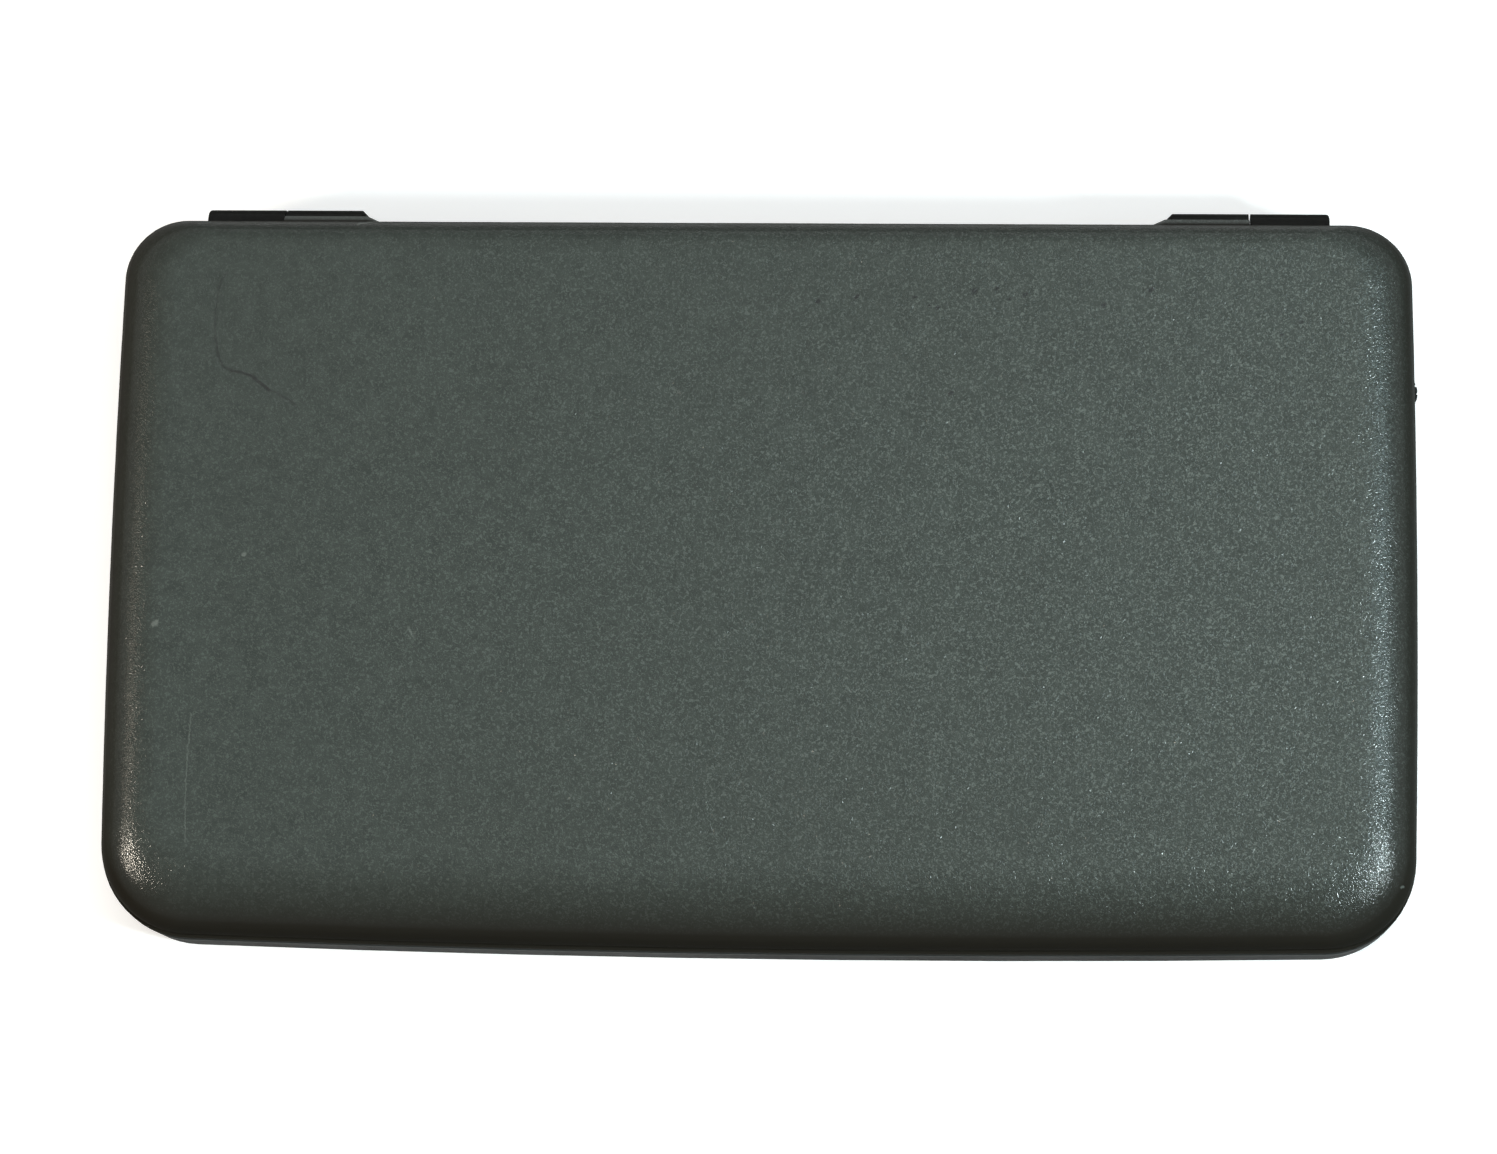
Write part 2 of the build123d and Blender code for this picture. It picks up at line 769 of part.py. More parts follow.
# Main and backup coin cells
for name, place in zip(("main_battery", "backup_battery"), cell_places):
    with BuildPart() as cell:
        with BuildSketch(Plane.XY.offset(floor_of_cells)):
            with Locations(place):
                Circle(cell_radius)
        extrude(amount=cell_thickness)
        chamfer(cell.edges().group_by(Axis.Z)[0], cell_edge)
    save(cell.part, name)

# Battery cover: a plate with tongues along both edges that slides out to the left
with BuildPart() as battery_cover:
    extrude(outline(cover_recess, front=-base_front_step), amount=panel_bottom)
    fillet(battery_cover.edges().group_by(Axis.Z)[0], base_edge)
    cover_reach = cover_half_depth - cover_clearance
    cover_right_x = well_right_x - cover_clearance
    plate = box_sketch(
        cover_recess,
        (-side_x, cover_right_x),
        (cell_row_y - cover_reach, cell_row_y + cover_reach),
    )
    extrude(plate, amount=cover_lip_height, mode=Mode.INTERSECT)
    above_plate = box_sketch(
        cover_recess + cover_thickness,
        (-side_x + wall - fit, cover_right_x),
        (cell_row_y - cover_reach, cell_row_y + cover_reach),
    )
    extrude(above_plate, amount=cover_lip_height, mode=Mode.SUBTRACT)
    tongue_reach = cover_reach + cover_tongue
    tongue = box_sketch(
        tongue_low,
        (-side_x + base_edge, cover_right_x),
        (cell_row_y - tongue_reach, cell_row_y + tongue_reach),
    )
    extrude(tongue, amount=cover_tongue_thickness)
    for groove_number in range(grip_grooves):
        groove_x = -side_x + grip_start + groove_number * grip_pitch
        grip = box_sketch(
            cover_recess,
            (groove_x, groove_x + grip_width),
            (cell_row_y - cover_reach / 2, cell_row_y + cover_reach / 2),
        )
        extrude(grip, amount=grip_depth, mode=Mode.SUBTRACT)
save(battery_cover.part, "battery_cover")

# Buzzer disc in its ring on the floor
with BuildPart() as buzzer_disc:
    with BuildSketch(Plane.XY.offset(floor + slip)):
        with Locations(buzzer_place):
            Circle(buzzer_radius)
    extrude(amount=buzzer_thickness)
save(buzzer_disc.part, "buzzer_disc")

# Reset button: a recessed pin with a flange that keeps it in
with BuildPart() as reset_button:
    with BuildSketch(Plane.XY.offset(button_recess)):
        with Locations(button_place):
            Circle(button_radius)
    extrude(amount=button_top - button_recess)
    with BuildSketch(Plane.XY.offset(floor + slip)):
        with Locations(button_place):
            Circle(button_flange_radius)
    extrude(amount=button_flange_thickness)
save(reset_button.part, "reset_button")

# Contrast wheel: a notched disc on the trimmer's shaft
with BuildPart() as contrast_wheel:
    with BuildSketch(Plane.XY.offset(wheel_bottom)):
        with Locations((wheel_x, wheel_y)):
            Circle(wheel_radius)
            with PolarLocations(wheel_radius, wheel_notches):
                Circle(wheel_notch_radius, mode=Mode.SUBTRACT)
            Circle(shaft_radius + slip, mode=Mode.SUBTRACT)
    extrude(amount=wheel_thickness)
save(contrast_wheel.part, "contrast_wheel")

# Data jack: a block with a blind bore behind the hole in the left wall
with BuildPart() as data_jack:
    jack_start_x = -side_x + side_crown + wall + slip
    body = box_sketch(
        floor + slip,
        (jack_start_x, jack_start_x + jack_length),
        (jack_y - jack_width / 2, jack_y + jack_width / 2),
    )
    extrude(body, amount=jack_height)
    with BuildSketch(Plane.YZ.offset(jack_start_x)):
        with Locations((jack_y, jack_z)):
            Circle(jack_bore_radius)
    extrude(amount=jack_bore_depth, mode=Mode.SUBTRACT)
save(data_jack.part, "data_jack")

# Case screws, from below through the bottom case into the panel
with BuildPart() as case_screws:
    with BuildSketch(Plane.XY.offset(case_head_depth)):
        with Locations(*case_screw_places):
            Circle(case_head_radius)
    extrude(amount=-case_head_height)
    with BuildSketch(Plane.XY.offset(case_head_depth)):
        with Locations(*case_screw_places):
            Circle(case_shank_radius)
    extrude(amount=case_shank_top - case_head_depth)
save(case_screws.part, "case_screws")

# Hinge pins, fixed in the base's knuckles and free in the lid's
with BuildPart() as hinge_pins:
    pin_start = barrel_inner_end + pin_end_cover
    pin_end = barrel_outer_end - pin_end_cover - slip
    for start in both_sides(pin_start, pin_end):
        extrude(hinge_circle(start, pin_radius), amount=pin_end - pin_start)
save(hinge_pins.part, "hinge_pins")

# Lid shell: drawn in along ellipses above a thin lip, hollow, with a flare over each knuckle
with BuildPart() as lid_shell:
    extrude(outline(lid_bottom), amount=lip_height)
    loft(
        sections=lid_levels(
            lip_top, lid_top, 0, lip_ledge, side_curve, rear_curve, nose_curve
        )
    )
    straight_top = bezel_top + slip
    extrude(
        inset_outline(lid_bottom, lid_wall, lip_ledge),
        amount=straight_top - lid_bottom,
        mode=Mode.SUBTRACT,
    )
    loft(
        sections=lid_levels(
            straight_top,
            roof_bottom,
            lid_wall,
            lip_ledge,
            side_curve - lid_wall,
            rear_curve - lid_wall,
            nose_curve - lid_wall,
        ),
        mode=Mode.SUBTRACT,
    )
    for side in (1, -1):
        flare_sections = [
            flare_section(side * (barrel_joint - barrel_end_gap), flare_reach),
            flare_section(side * barrel_inner_end, flare_reach),
            flare_section(side * (barrel_inner_end - flare_taper), -flare_reach),
        ]
        loft(sections=flare_sections, ruled=True)
    for start in both_sides(
        barrel_inner_end - barrel_clearance, barrel_outer_end + barrel_end_gap
    ):
        cut_length = barrel_outer_end + barrel_end_gap - barrel_inner_end + barrel_clearance
        extrude(hinge_circle(start, pocket_radius), amount=cut_length, mode=Mode.SUBTRACT)
    for start in both_sides(barrel_inner_end - fit, barrel_joint):
        knuckle_gap = box_sketch(
            lid_bottom,
            (start, start + barrel_joint - barrel_inner_end + fit),
            (rear_y - lid_wall - slip, hinge_y),
        )
        extrude(knuckle_gap, amount=bezel_top + slip - lid_bottom, mode=Mode.SUBTRACT)
    with BuildSketch(Plane.XY.offset(bezel_top + slip)):
        with Locations(*lid_screw_places):
            Circle(lid_boss_radius)
    extrude(amount=roof_bottom - bezel_top)
    with BuildSketch(Plane.XY.offset(bezel_top + slip)):
        with Locations(display_middle):
            Rectangle(
                glass_width + 2 * (fit + rib), glass_depth + 2 * (fit + rib)
            )
            Rectangle(glass_width + 2 * fit, glass_depth + 2 * fit, mode=Mode.SUBTRACT)
    extrude(amount=roof_bottom - bezel_top)
    fence_rear_y = display_middle_y + glass_depth / 2
    ribbon_way = box_sketch(
        backing_bottom,
        (-ribbon_width / 2 - fit, ribbon_width / 2 + fit),
        (fence_rear_y, fence_rear_y + fit + rib),
    )
    extrude(ribbon_way, amount=backing_thickness, mode=Mode.SUBTRACT)
    with BuildSketch(Plane.XY.offset(bezel_top)):
        with Locations(*lid_screw_places):
            Circle(lid_shank_radius + thread_clearance)
    extrude(amount=lid_shank_length - lid_head_depth + fit, mode=Mode.SUBTRACT)
save(lid_shell.part, "lid_shell")

# Display bezel: the inner face of the lid, with the inner hinge knuckles
with BuildPart() as display_bezel:
    extrude(inset_outline(bezel_bottom, lid_wall + fit, lip_ledge), amount=bezel_thickness)
    for start in both_sides(
        barrel_joint - barrel_end_gap, barrel_outer_end + barrel_end_gap
    ):
        cut_length = barrel_outer_end - barrel_joint + 2 * barrel_end_gap
        extrude(hinge_circle(start, pocket_radius), amount=cut_length, mode=Mode.SUBTRACT)
    for side in (1, -1):
        knuckle = barrel_half(
            side * (barrel_joint - barrel_end_gap),
            side * barrel_inner_end,
            end_chamfer=barrel_end_chamfer,
        )
        revolve(knuckle, axis=hinge_axis)
    tongue_length = barrel_joint - barrel_end_gap - barrel_inner_end - barrel_end_chamfer
    for start in both_sides(barrel_inner_end + barrel_end_chamfer, barrel_joint - barrel_end_gap):
        tongue = box_sketch(
            bezel_bottom,
            (start, start + tongue_length),
            (rear_y - lid_wall - 2 * fit, hinge_y),
        )
        extrude(tongue, amount=bezel_thickness - fit)
    for start in both_sides(pin_start - slip, barrel_joint):
        bore = hinge_circle(start, pin_radius + pin_running_clearance)
        extrude(bore, amount=barrel_joint - pin_start + slip, mode=Mode.SUBTRACT)
    with BuildSketch(Plane.XY.offset(bezel_bottom)):
        with Locations(display_middle):
            Rectangle(opening_width, opening_depth)
    extrude(amount=bezel_thickness, mode=Mode.SUBTRACT)
    with BuildSketch(Plane.XY.offset(bezel_bottom)):
        with Locations(display_middle):
            RectangleRounded(window_width + fit, window_depth + fit, window_corner)
    extrude(amount=window_thickness + slip, mode=Mode.SUBTRACT)
    ribbon_gap = box_sketch(
        bezel_bottom,
        (-ribbon_width / 2 - fit, ribbon_width / 2 + fit),
        (ribbon_y - ribbon_slot / 2, rear_y),
    )
    extrude(ribbon_gap, amount=bezel_thickness, mode=Mode.SUBTRACT)
    with Locations(*[(x, y, bezel_bottom) for x, y in lid_screw_places]):
        Hole(lid_shank_radius + fit, depth=2 * bezel_thickness)
    with BuildSketch(Plane.XY.offset(bezel_bottom)):
        with Locations(*lid_screw_places):
            Circle(lid_head_radius + fit)
    extrude(amount=lid_head_depth, mode=Mode.SUBTRACT)
save(display_bezel.part, "display_bezel")

# Clear window over the display
with BuildPart() as display_window:
    with BuildSketch(Plane.XY.offset(bezel_bottom)):
        with Locations(display_middle):
            RectangleRounded(window_width, window_depth, window_corner)
    extrude(amount=window_thickness)
save(display_window.part, "display_window")

# Liquid crystal panel
with BuildPart() as lcd_panel:
    with BuildSketch(Plane.XY.offset(glass_bottom)):
        with Locations(display_middle):
            Rectangle(glass_width, glass_depth)
    extrude(amount=glass_thickness)
save(lcd_panel.part, "lcd_panel")

# Driver board behind the display
with BuildPart() as lcd_backing:
    with BuildSketch(Plane.XY.offset(backing_bottom)):
        with Locations(display_middle):
            Rectangle(glass_width, glass_depth)
    extrude(amount=backing_thickness)
save(lcd_backing.part, "lcd_backing")

# Ribbon that carries the display's signals past the hinge
with BuildPart() as display_ribbon:
    half = ribbon_thickness / 2
    with BuildSketch(Plane.YZ.offset(-ribbon_width / 2)):
        with BuildLine():
            Polyline(
                (ribbon_end_y, ribbon_low_z - half),
                (ribbon_y + half, ribbon_low_z - half),
                (ribbon_y + half, ribbon_high_z + half),
                (fence_rear_y, ribbon_high_z + half),
                (fence_rear_y, ribbon_high_z - half),
                (ribbon_y - half, ribbon_high_z - half),
                (ribbon_y - half, ribbon_low_z + half),
                (ribbon_end_y, ribbon_low_z + half),
                close=True,
            )
        make_face()
    extrude(amount=ribbon_width)
save(display_ribbon.part, "display_ribbon")

# Lid screws, from the bezel into the lid shell
with BuildPart() as lid_screws:
    with BuildSketch(Plane.XY.offset(bezel_bottom + lid_head_depth)):
        with Locations(*lid_screw_places):
            Circle(lid_head_radius)
    extrude(amount=-lid_head_height)
    with BuildSketch(Plane.XY.offset(bezel_bottom + lid_head_depth)):
        with Locations(*lid_screw_places):
            Circle(lid_shank_radius)
    extrude(amount=lid_shank_length)
save(lid_screws.part, "lid_screws")

closed_depth = base_front_step + rear_y + hinge_y + barrel_radius
print(f"closed size {case_width} x {closed_depth:.2f} x {lid_top:.2f} mm, {len(keys)} keys")
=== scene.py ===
"""Looks of a pocket electronic organizer: paint, plastics, key caps, legends, display, screws and ribbon."""

import json
import math

import bmesh
import bpy
from mathutils import Matrix, Vector
from mathutils.bvhtree import BVHTree


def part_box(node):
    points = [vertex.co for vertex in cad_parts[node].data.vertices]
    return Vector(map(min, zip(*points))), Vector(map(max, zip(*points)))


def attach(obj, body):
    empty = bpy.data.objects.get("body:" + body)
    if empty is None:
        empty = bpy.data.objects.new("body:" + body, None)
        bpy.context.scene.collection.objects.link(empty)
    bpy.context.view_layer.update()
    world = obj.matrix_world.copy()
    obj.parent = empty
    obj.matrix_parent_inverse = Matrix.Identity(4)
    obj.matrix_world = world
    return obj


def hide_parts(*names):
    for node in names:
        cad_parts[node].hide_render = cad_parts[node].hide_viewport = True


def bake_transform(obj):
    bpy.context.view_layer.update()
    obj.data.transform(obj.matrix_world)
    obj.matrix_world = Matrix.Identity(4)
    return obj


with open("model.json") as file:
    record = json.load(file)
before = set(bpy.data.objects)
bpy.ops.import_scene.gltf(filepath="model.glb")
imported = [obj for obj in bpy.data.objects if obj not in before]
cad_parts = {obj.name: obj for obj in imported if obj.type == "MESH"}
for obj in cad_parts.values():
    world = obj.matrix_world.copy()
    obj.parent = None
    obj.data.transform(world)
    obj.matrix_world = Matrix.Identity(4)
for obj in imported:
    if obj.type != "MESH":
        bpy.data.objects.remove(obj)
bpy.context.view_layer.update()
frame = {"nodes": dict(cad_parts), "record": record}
MM = 0.001

letters_by_row = [
    [("key_on", "ON"), ("key_shift", "SHIFT"), ("key_space", "SPACE"), ("key_left", ""), ("key_right", "")],
    [(f"key_{c}", c.upper()) for c in "zxcvbnm"]
    + [("key_comma", ","), ("key_period", "."), ("key_enter", "ENTER")],
    [(f"key_{c}", c.upper()) for c in "asdfghjkl"] + [("key_delete", "DEL")],
    [(f"key_{c}", c.upper()) for c in "qwertyuiop"],
]


# Materials -----------------------------------------------------------------------------------


def rgba(colour):
    """A colour with its alpha. A socket stays as it is."""
    return colour if isinstance(colour, bpy.types.NodeSocket) else (*colour, 1.0)


class Nodes:
    """A short way to write a material's nodes."""

    def __init__(self, name):
        self.material = bpy.data.materials.new(name)
        self.material.use_nodes = True
        self.tree = self.material.node_tree
        self.shader = self.tree.nodes["Principled BSDF"]
        self.place = self.add("ShaderNodeTexCoord").outputs["Object"]

    @classmethod
    def in_tree(cls, tree):
        """The same short way, inside a tree that has no shader of its own."""
        nodes = cls.__new__(cls)
        nodes.tree = tree
        return nodes

    def add(self, kind, inputs=None, **settings):
        node = self.tree.nodes.new(kind)
        for key, value in settings.items():
            setattr(node, key, value)
        for key, value in (inputs or {}).items():
            self.put(node.inputs[key], value)
        return node

    def put(self, socket, value):
        if isinstance(value, bpy.types.NodeSocket):
            self.tree.links.new(value, socket)
        else:
            socket.default_value = value

    def math(self, operation, a, b=0.0, clamp=False):
        node = self.add("ShaderNodeMath", {0: a, 1: b}, operation=operation, use_clamp=clamp)
        return node.outputs[0]

    def vector(self, operation, a, b=(0, 0, 0), output="Vector"):
        node = self.add("ShaderNodeVectorMath", {0: a, 1: b}, operation=operation)
        return node.outputs[output]

    def scaled(self, vector, factor):
        return self.add("ShaderNodeVectorMath", {0: vector, "Scale": factor}, operation="SCALE").outputs[0]

    def noise(self, scale, detail=2.0, roughness=0.5, vector=None, twist=0.0):
        inputs = {"Vector": vector or self.place, "Scale": scale, "Detail": detail}
        inputs |= {"Roughness": roughness, "Distortion": twist}
        return self.add("ShaderNodeTexNoise", inputs).outputs["Fac"]

    def spread(self, value, low, high, to_low=0.0, to_high=1.0):
        inputs = {"Value": value, "From Min": low, "From Max": high, "To Min": to_low, "To Max": to_high}
        return self.add("ShaderNodeMapRange", inputs).outputs["Result"]

    def mix(self, factor, a, b):
        return self.add("ShaderNodeMix", {0: factor, 6: rgba(a), 7: rgba(b)}, data_type="RGBA").outputs[2]

    def axes(self):
        return self.add("ShaderNodeSeparateXYZ", {0: self.place}).outputs

    def share_of_pitch(self, value, pitch):
        """0 to 1 over each pitch. The metre that is added keeps the value above 0."""
        return self.math("FRACT", self.math("DIVIDE", self.math("ADD", value, 1.0), pitch))

    def within(self, value, half):
        return self.math("LESS_THAN", self.math("ABSOLUTE", value), half)

    def facing(self):
        """0 where the surface is seen straight on, and 1 where it is seen edge on."""
        return self.add("ShaderNodeLayerWeight", {"Blend": 0.5}).outputs["Facing"]

    def bump(self, height, strength, distance):
        inputs = {"Height": height, "Strength": strength, "Distance": distance}
        self.put(self.shader.inputs["Normal"], self.add("ShaderNodeBump", inputs).outputs["Normal"])

    def soft_gloss(self, level, worn=0.0):
        """Gloss that dies away at the edges, as a fine rough surface's does, and by a given share, which on
        the lid follows its painted shade.
        """
        gloss = self.spread(self.facing(), 0.1, 0.4, level, 0.05 * level)
        kept = self.math("SUBTRACT", 1.0, worn)
        self.put(self.shader.inputs["Specular IOR Level"], self.math("MULTIPLY", gloss, kept))

    def finish(self, colour, roughness, **values):
        self.put(self.shader.inputs["Base Color"], rgba(colour))
        self.put(self.shader.inputs["Roughness"], roughness)
        for key, value in values.items():
            self.shader.inputs[key.replace("_", " ")].default_value = value
        return self.material


# Marks of use on the lid, in millimetres: dark specks and pale ones as x, y and radius
dark_specks = [
    (5.9, 28.5, 0.26), (9.8, 29.0, 0.28), (15.8, 29.0, 0.18), (17.2, 28.1, 0.16), (18.1, 27.9, 0.2),
    (21.8, 29.6, 0.34), (24.1, 30.0, 0.2), (25.4, 28.9, 0.2), (27.0, 29.3, 0.28), (35.0, 28.3, 0.26),
    (39.8, 29.9, 0.28), (19.5, 19.0, 0.26), (55.0, 26.6, 0.2), (52.9, 25.3, 0.16),
]
pale_specks = [
    (54.9, -15.5, 0.12), (51.7, -16.7, 0.12), (41.2, -20.7, 0.12), (-61.2, -5.4, 0.3), (-52.3, 1.8, 0.25),
    (65.1, -30.5, 0.15), (11.0, 15.8, 0.12),
]
# Thin lines as a run of points, a half width and a strength
dark_lines = [
    ([(-55.2, 31.3), (-55.9, 29.7), (-56.2, 26.9), (-56.1, 24.3)], 0.10, 0.4),
    ([(-56.1, 24.3), (-55.7, 22.4), (-55.3, 21.5), (-54.3, 20.9)], 0.10, 0.6),
    ([(-54.3, 20.9), (-53.1, 20.7), (-52.2, 20.4), (-51.4, 19.7), (-50.3, 18.9)], 0.14, 0.9),
    ([(-50.3, 18.9), (-49.3, 18.5), (-47.5, 17.3)], 0.12, 0.5),
]
pale_lines = [
    ([(-57.1, -14.7), (-57.3, -18.2), (-57.4, -23.1), (-57.2, -27.8)], 0.07, 0.45),
    ([(-35.2, -5.6), (-34.7, -6.6)], 0.10, 0.5),
    # A painted highlight on the shoulder of the left flare, drawn as a pale stroke
    ([(-40.3, 37.4), (-41.9, 36.7)], 0.14, 1.0),
]


def stroke_group():
    """A group that gives a strength on a straight stroke from A to B and 0 off it."""
    group = bpy.data.node_groups.new("stroke", "ShaderNodeTree")
    kinds = {"Place": "Vector", "A": "Vector", "B": "Vector", "Half Width": "Float", "Strength": "Float"}
    for name, kind in kinds.items():
        group.interface.new_socket(name, in_out="INPUT", socket_type=f"NodeSocket{kind}")
    group.interface.new_socket("Mask", in_out="OUTPUT", socket_type="NodeSocketFloat")
    given = group.nodes.new("NodeGroupInput").outputs
    n = Nodes.in_tree(group)
    along = n.vector("SUBTRACT", given["B"], given["A"])
    offset = n.vector("SUBTRACT", given["Place"], given["A"])
    passed = n.vector("DOT_PRODUCT", offset, along, "Value")
    whole = n.vector("DOT_PRODUCT", along, along, "Value")
    nearest = n.scaled(along, n.math("DIVIDE", passed, whole, clamp=True))
    distance = n.vector("DISTANCE", offset, nearest, "Value")
    edge = n.math("MULTIPLY", given["Half Width"], 1.5)
    core = n.math("MULTIPLY", edge, 0.4)
    mask = n.spread(distance, core, edge, given["Strength"], 0.0)
    group.links.new(mask, group.nodes.new("NodeGroupOutput").inputs["Mask"])
    return group


def marks(n, group, lines, specks, place):
    """The strongest of all strokes and specks at a place."""
    strokes = [(a, b, half, strength) for run, half, strength in lines for a, b in zip(run, run[1:])]
    strokes += [((x - 0.4 * r, y - 0.3 * r), (x + 0.4 * r, y + 0.3 * r), 0.7 * r, 1.0) for x, y, r in specks]
    strongest = 0.0
    for a, b, half, strength in strokes:
        inputs = {
            "Place": place,
            "A": (a[0] * MM, a[1] * MM, 0),
            "B": (b[0] * MM, b[1] * MM, 0),
            "Half Width": half * MM,
            "Strength": strength,
        }
        mask = n.add("ShaderNodeGroup", node_tree=group)
        for key, value in inputs.items():
            n.put(mask.inputs[key], value)
        strongest = n.math("MAXIMUM", mask.outputs["Mask"], strongest)
    return strongest


def painted_lid():
    """Flecked dark paint with scratches and specks, painted sparkle towards the front right, a painted
    highlight on the left flare, and warm near-black painted shade towards the rim, the nose and the rear.
    """
    paint_dark, paint_light = (0.036, 0.044, 0.039), (0.049, 0.060, 0.053)
    fleck, cloud, painted_shade_colour = (0.132, 0.155, 0.141), (0.045, 0.051, 0.044), (0.018, 0.0165, 0.013)
    scratch_dark, pale_scratch_and_highlight = (0.008, 0.009, 0.009), (0.2, 0.22, 0.2)
    n = Nodes("lid_paint")
    x, y, z = n.axes()

    # Flecks of the paint's own grain, with painted sparkle that makes them stronger towards the front right,
    # where the lamps catch them
    flecks = n.spread(n.noise(3400, 1.0, 0.6, twist=1.2), 0.52, 0.66)
    painted_sparkle_right = n.spread(x, -50 * MM, 60 * MM, 0.3, 0.95)
    painted_sparkle_front = n.spread(y, 35 * MM, -5 * MM, 0.75, 1.0)
    flecks = n.math("MULTIPLY", flecks, n.math("MULTIPLY", painted_sparkle_right, painted_sparkle_front))
    mottle = n.spread(n.noise(800, 3.0, 0.6), 0.3, 0.7)
    clouds = n.spread(n.noise(14, 3.0, 0.5), 0.35, 0.7, 0.0, 0.25)
    colour = n.mix(clouds, n.mix(flecks, n.mix(mottle, paint_dark, paint_light), fleck), cloud)

    # Painted shade: the mask thin darkens the colour to a warm near-black towards the rim, the nose and the
    # rear, and much less on the flares over the hinge
    top_to_rim = (14.4 * MM, 11.8 * MM)
    flat_to_nose = (-18 * MM, -32 * MM)
    flat_to_rear = (33.5 * MM, 37.4 * MM)
    rear_to_flare = (37.5 * MM, 37.9 * MM)
    thin = n.math("POWER", n.spread(z, *top_to_rim), 0.58)
    thin = n.math("ADD", thin, n.spread(y, *flat_to_nose, 0.0, 0.08))
    thin = n.math("MAXIMUM", thin, n.spread(y, *flat_to_rear, 0.0, 0.4))
    thin = n.math("MULTIPLY", thin, n.spread(y, *rear_to_flare, 1.0, 0.15))
    colour = n.mix(n.math("MULTIPLY", thin, 0.92), colour, painted_shade_colour)

    # Marks of use, and one painted highlight on the shoulder of the left flare, whose strokes waver by up to
    # a quarter of a millimetre
    wobble = n.add("ShaderNodeTexNoise", {"Vector": n.place, "Scale": 1800.0, "Detail": 2.0}).outputs["Color"]
    shift = n.scaled(n.vector("SUBTRACT", wobble, (0.5, 0.5, 0.5)), 0.5 * MM)
    flat = n.vector("MULTIPLY", n.vector("ADD", n.place, shift), (1, 1, 0))
    group = stroke_group()
    dark = marks(n, group, dark_lines, dark_specks, flat)
    pale = marks(n, group, pale_lines, pale_specks, flat)
    colour = n.mix(n.math("MULTIPLY", dark, 0.85), colour, scratch_dark)
    colour = n.mix(n.math("MULTIPLY", pale, 0.45), colour, pale_scratch_and_highlight)

    # Satin that is rougher in the dark marks and where it is seen edge on
    rough = n.spread(n.noise(1500, 1.0), 0.3, 0.7, 0.16, 0.22)
    rough = n.math("ADD", rough, n.math("MULTIPLY", dark, 0.3))
    rough = n.math("ADD", rough, n.spread(n.facing(), 0.6, 0.95, 0.0, 0.35))
    relief_on_top = n.spread(z, 12 * MM, 13.5 * MM)
    relief_at_right = n.spread(x, -60 * MM, 0.0, 0.6, 1.0)
    relief_depth = 0.055 * MM
    n.bump(n.noise(4200, 0.0, twist=1.2), n.math("MULTIPLY", relief_on_top, relief_at_right), relief_depth)
    # Less gloss where the shade is painted in
    n.soft_gloss(0.9, n.math("MULTIPLY", thin, 0.9))
    return n.finish(colour, rough)


def moulded(name, dark, light, grain=1400, depth=0.05 * MM, low=0.45, high=0.6, strength=0.3):
    """Moulded plastic or rubber: two shades, the scale and depth of its grain, and its roughness."""
    n = Nodes(name)
    fine = n.noise(grain, 3.0, 0.6)
    worn = n.noise(60, 4.0, 0.6)
    shade = n.math("ADD", n.math("MULTIPLY", fine, 0.5), n.math("MULTIPLY", worn, 0.5))
    n.bump(fine, strength, depth)
    n.soft_gloss(0.25)
    colour = n.mix(n.spread(shade, 0.35, 0.65), dark, light)
    return n.finish(colour, n.spread(worn, 0.3, 0.7, low, high))


def plain_print(name, colour):
    n = Nodes(name)
    shade = n.mix(n.spread(n.noise(900, 2.0), 0.3, 0.7), tuple(0.85 * c for c in colour), colour)
    return n.finish(shade, 0.5)


def brushed(name, dark, light):
    """Metal with fine lines along X."""
    n = Nodes(name)
    stretched = n.vector("MULTIPLY", n.place, (1.0, 12.0, 1.0))
    lines = n.noise(900, 3.0, 0.6, stretched)
    n.bump(lines, 0.15, 0.02 * MM)
    colour = n.mix(n.spread(lines, 0.3, 0.7), dark, light)
    return n.finish(colour, n.spread(lines, 0.3, 0.7, 0.25, 0.42), Metallic=1.0)


def lcd_glass():
    """The display, switched off: faint cells of dots on a grey green ground."""
    dot_pitch, gap_share = 0.62 * MM, 0.12
    half_width, half_depth, middle_y = 43.5 * MM, 13.5 * MM, 2 * MM
    n = Nodes("lcd_glass")
    x, y, _ = n.axes()
    gaps = [n.math("LESS_THAN", n.share_of_pitch(value, dot_pitch), gap_share) for value in (x, y)]
    grid = n.math("MAXIMUM", *gaps)
    area = n.math("MULTIPLY", n.within(x, half_width), n.within(n.math("SUBTRACT", y, middle_y), half_depth))
    cells = n.math("MULTIPLY", area, n.spread(grid, 0.0, 1.0, 0.28, 0.0))
    tint = n.mix(n.spread(n.noise(40, 2.0), 0.3, 0.7), (0.34, 0.38, 0.29), (0.38, 0.42, 0.32))
    n.bump(n.noise(3000, 1.0), 0.05, 0.02 * MM)
    return n.finish(n.mix(cells, tint, (0.2, 0.235, 0.18)), 0.35)


def clear_window():
    """Clear plastic that lets light through to what lies under it."""
    n = Nodes("clear_window")
    smears = n.spread(n.noise(120, 4.0, 0.7), 0.55, 0.8, 0.02, 0.06)
    n.finish((0.95, 0.97, 0.96), smears, IOR=1.49, Transmission_Weight=1.0)
    clear = n.add("ShaderNodeBsdfTransparent", {"Color": (0.93, 0.95, 0.94, 1)})
    shadow = n.add("ShaderNodeLightPath").outputs["Is Shadow Ray"]
    mixed = n.add("ShaderNodeMixShader", {0: shadow, 1: n.shader.outputs[0], 2: clear.outputs[0]})
    n.put(n.tree.nodes["Material Output"].inputs["Surface"], mixed.outputs[0])
    return n.material


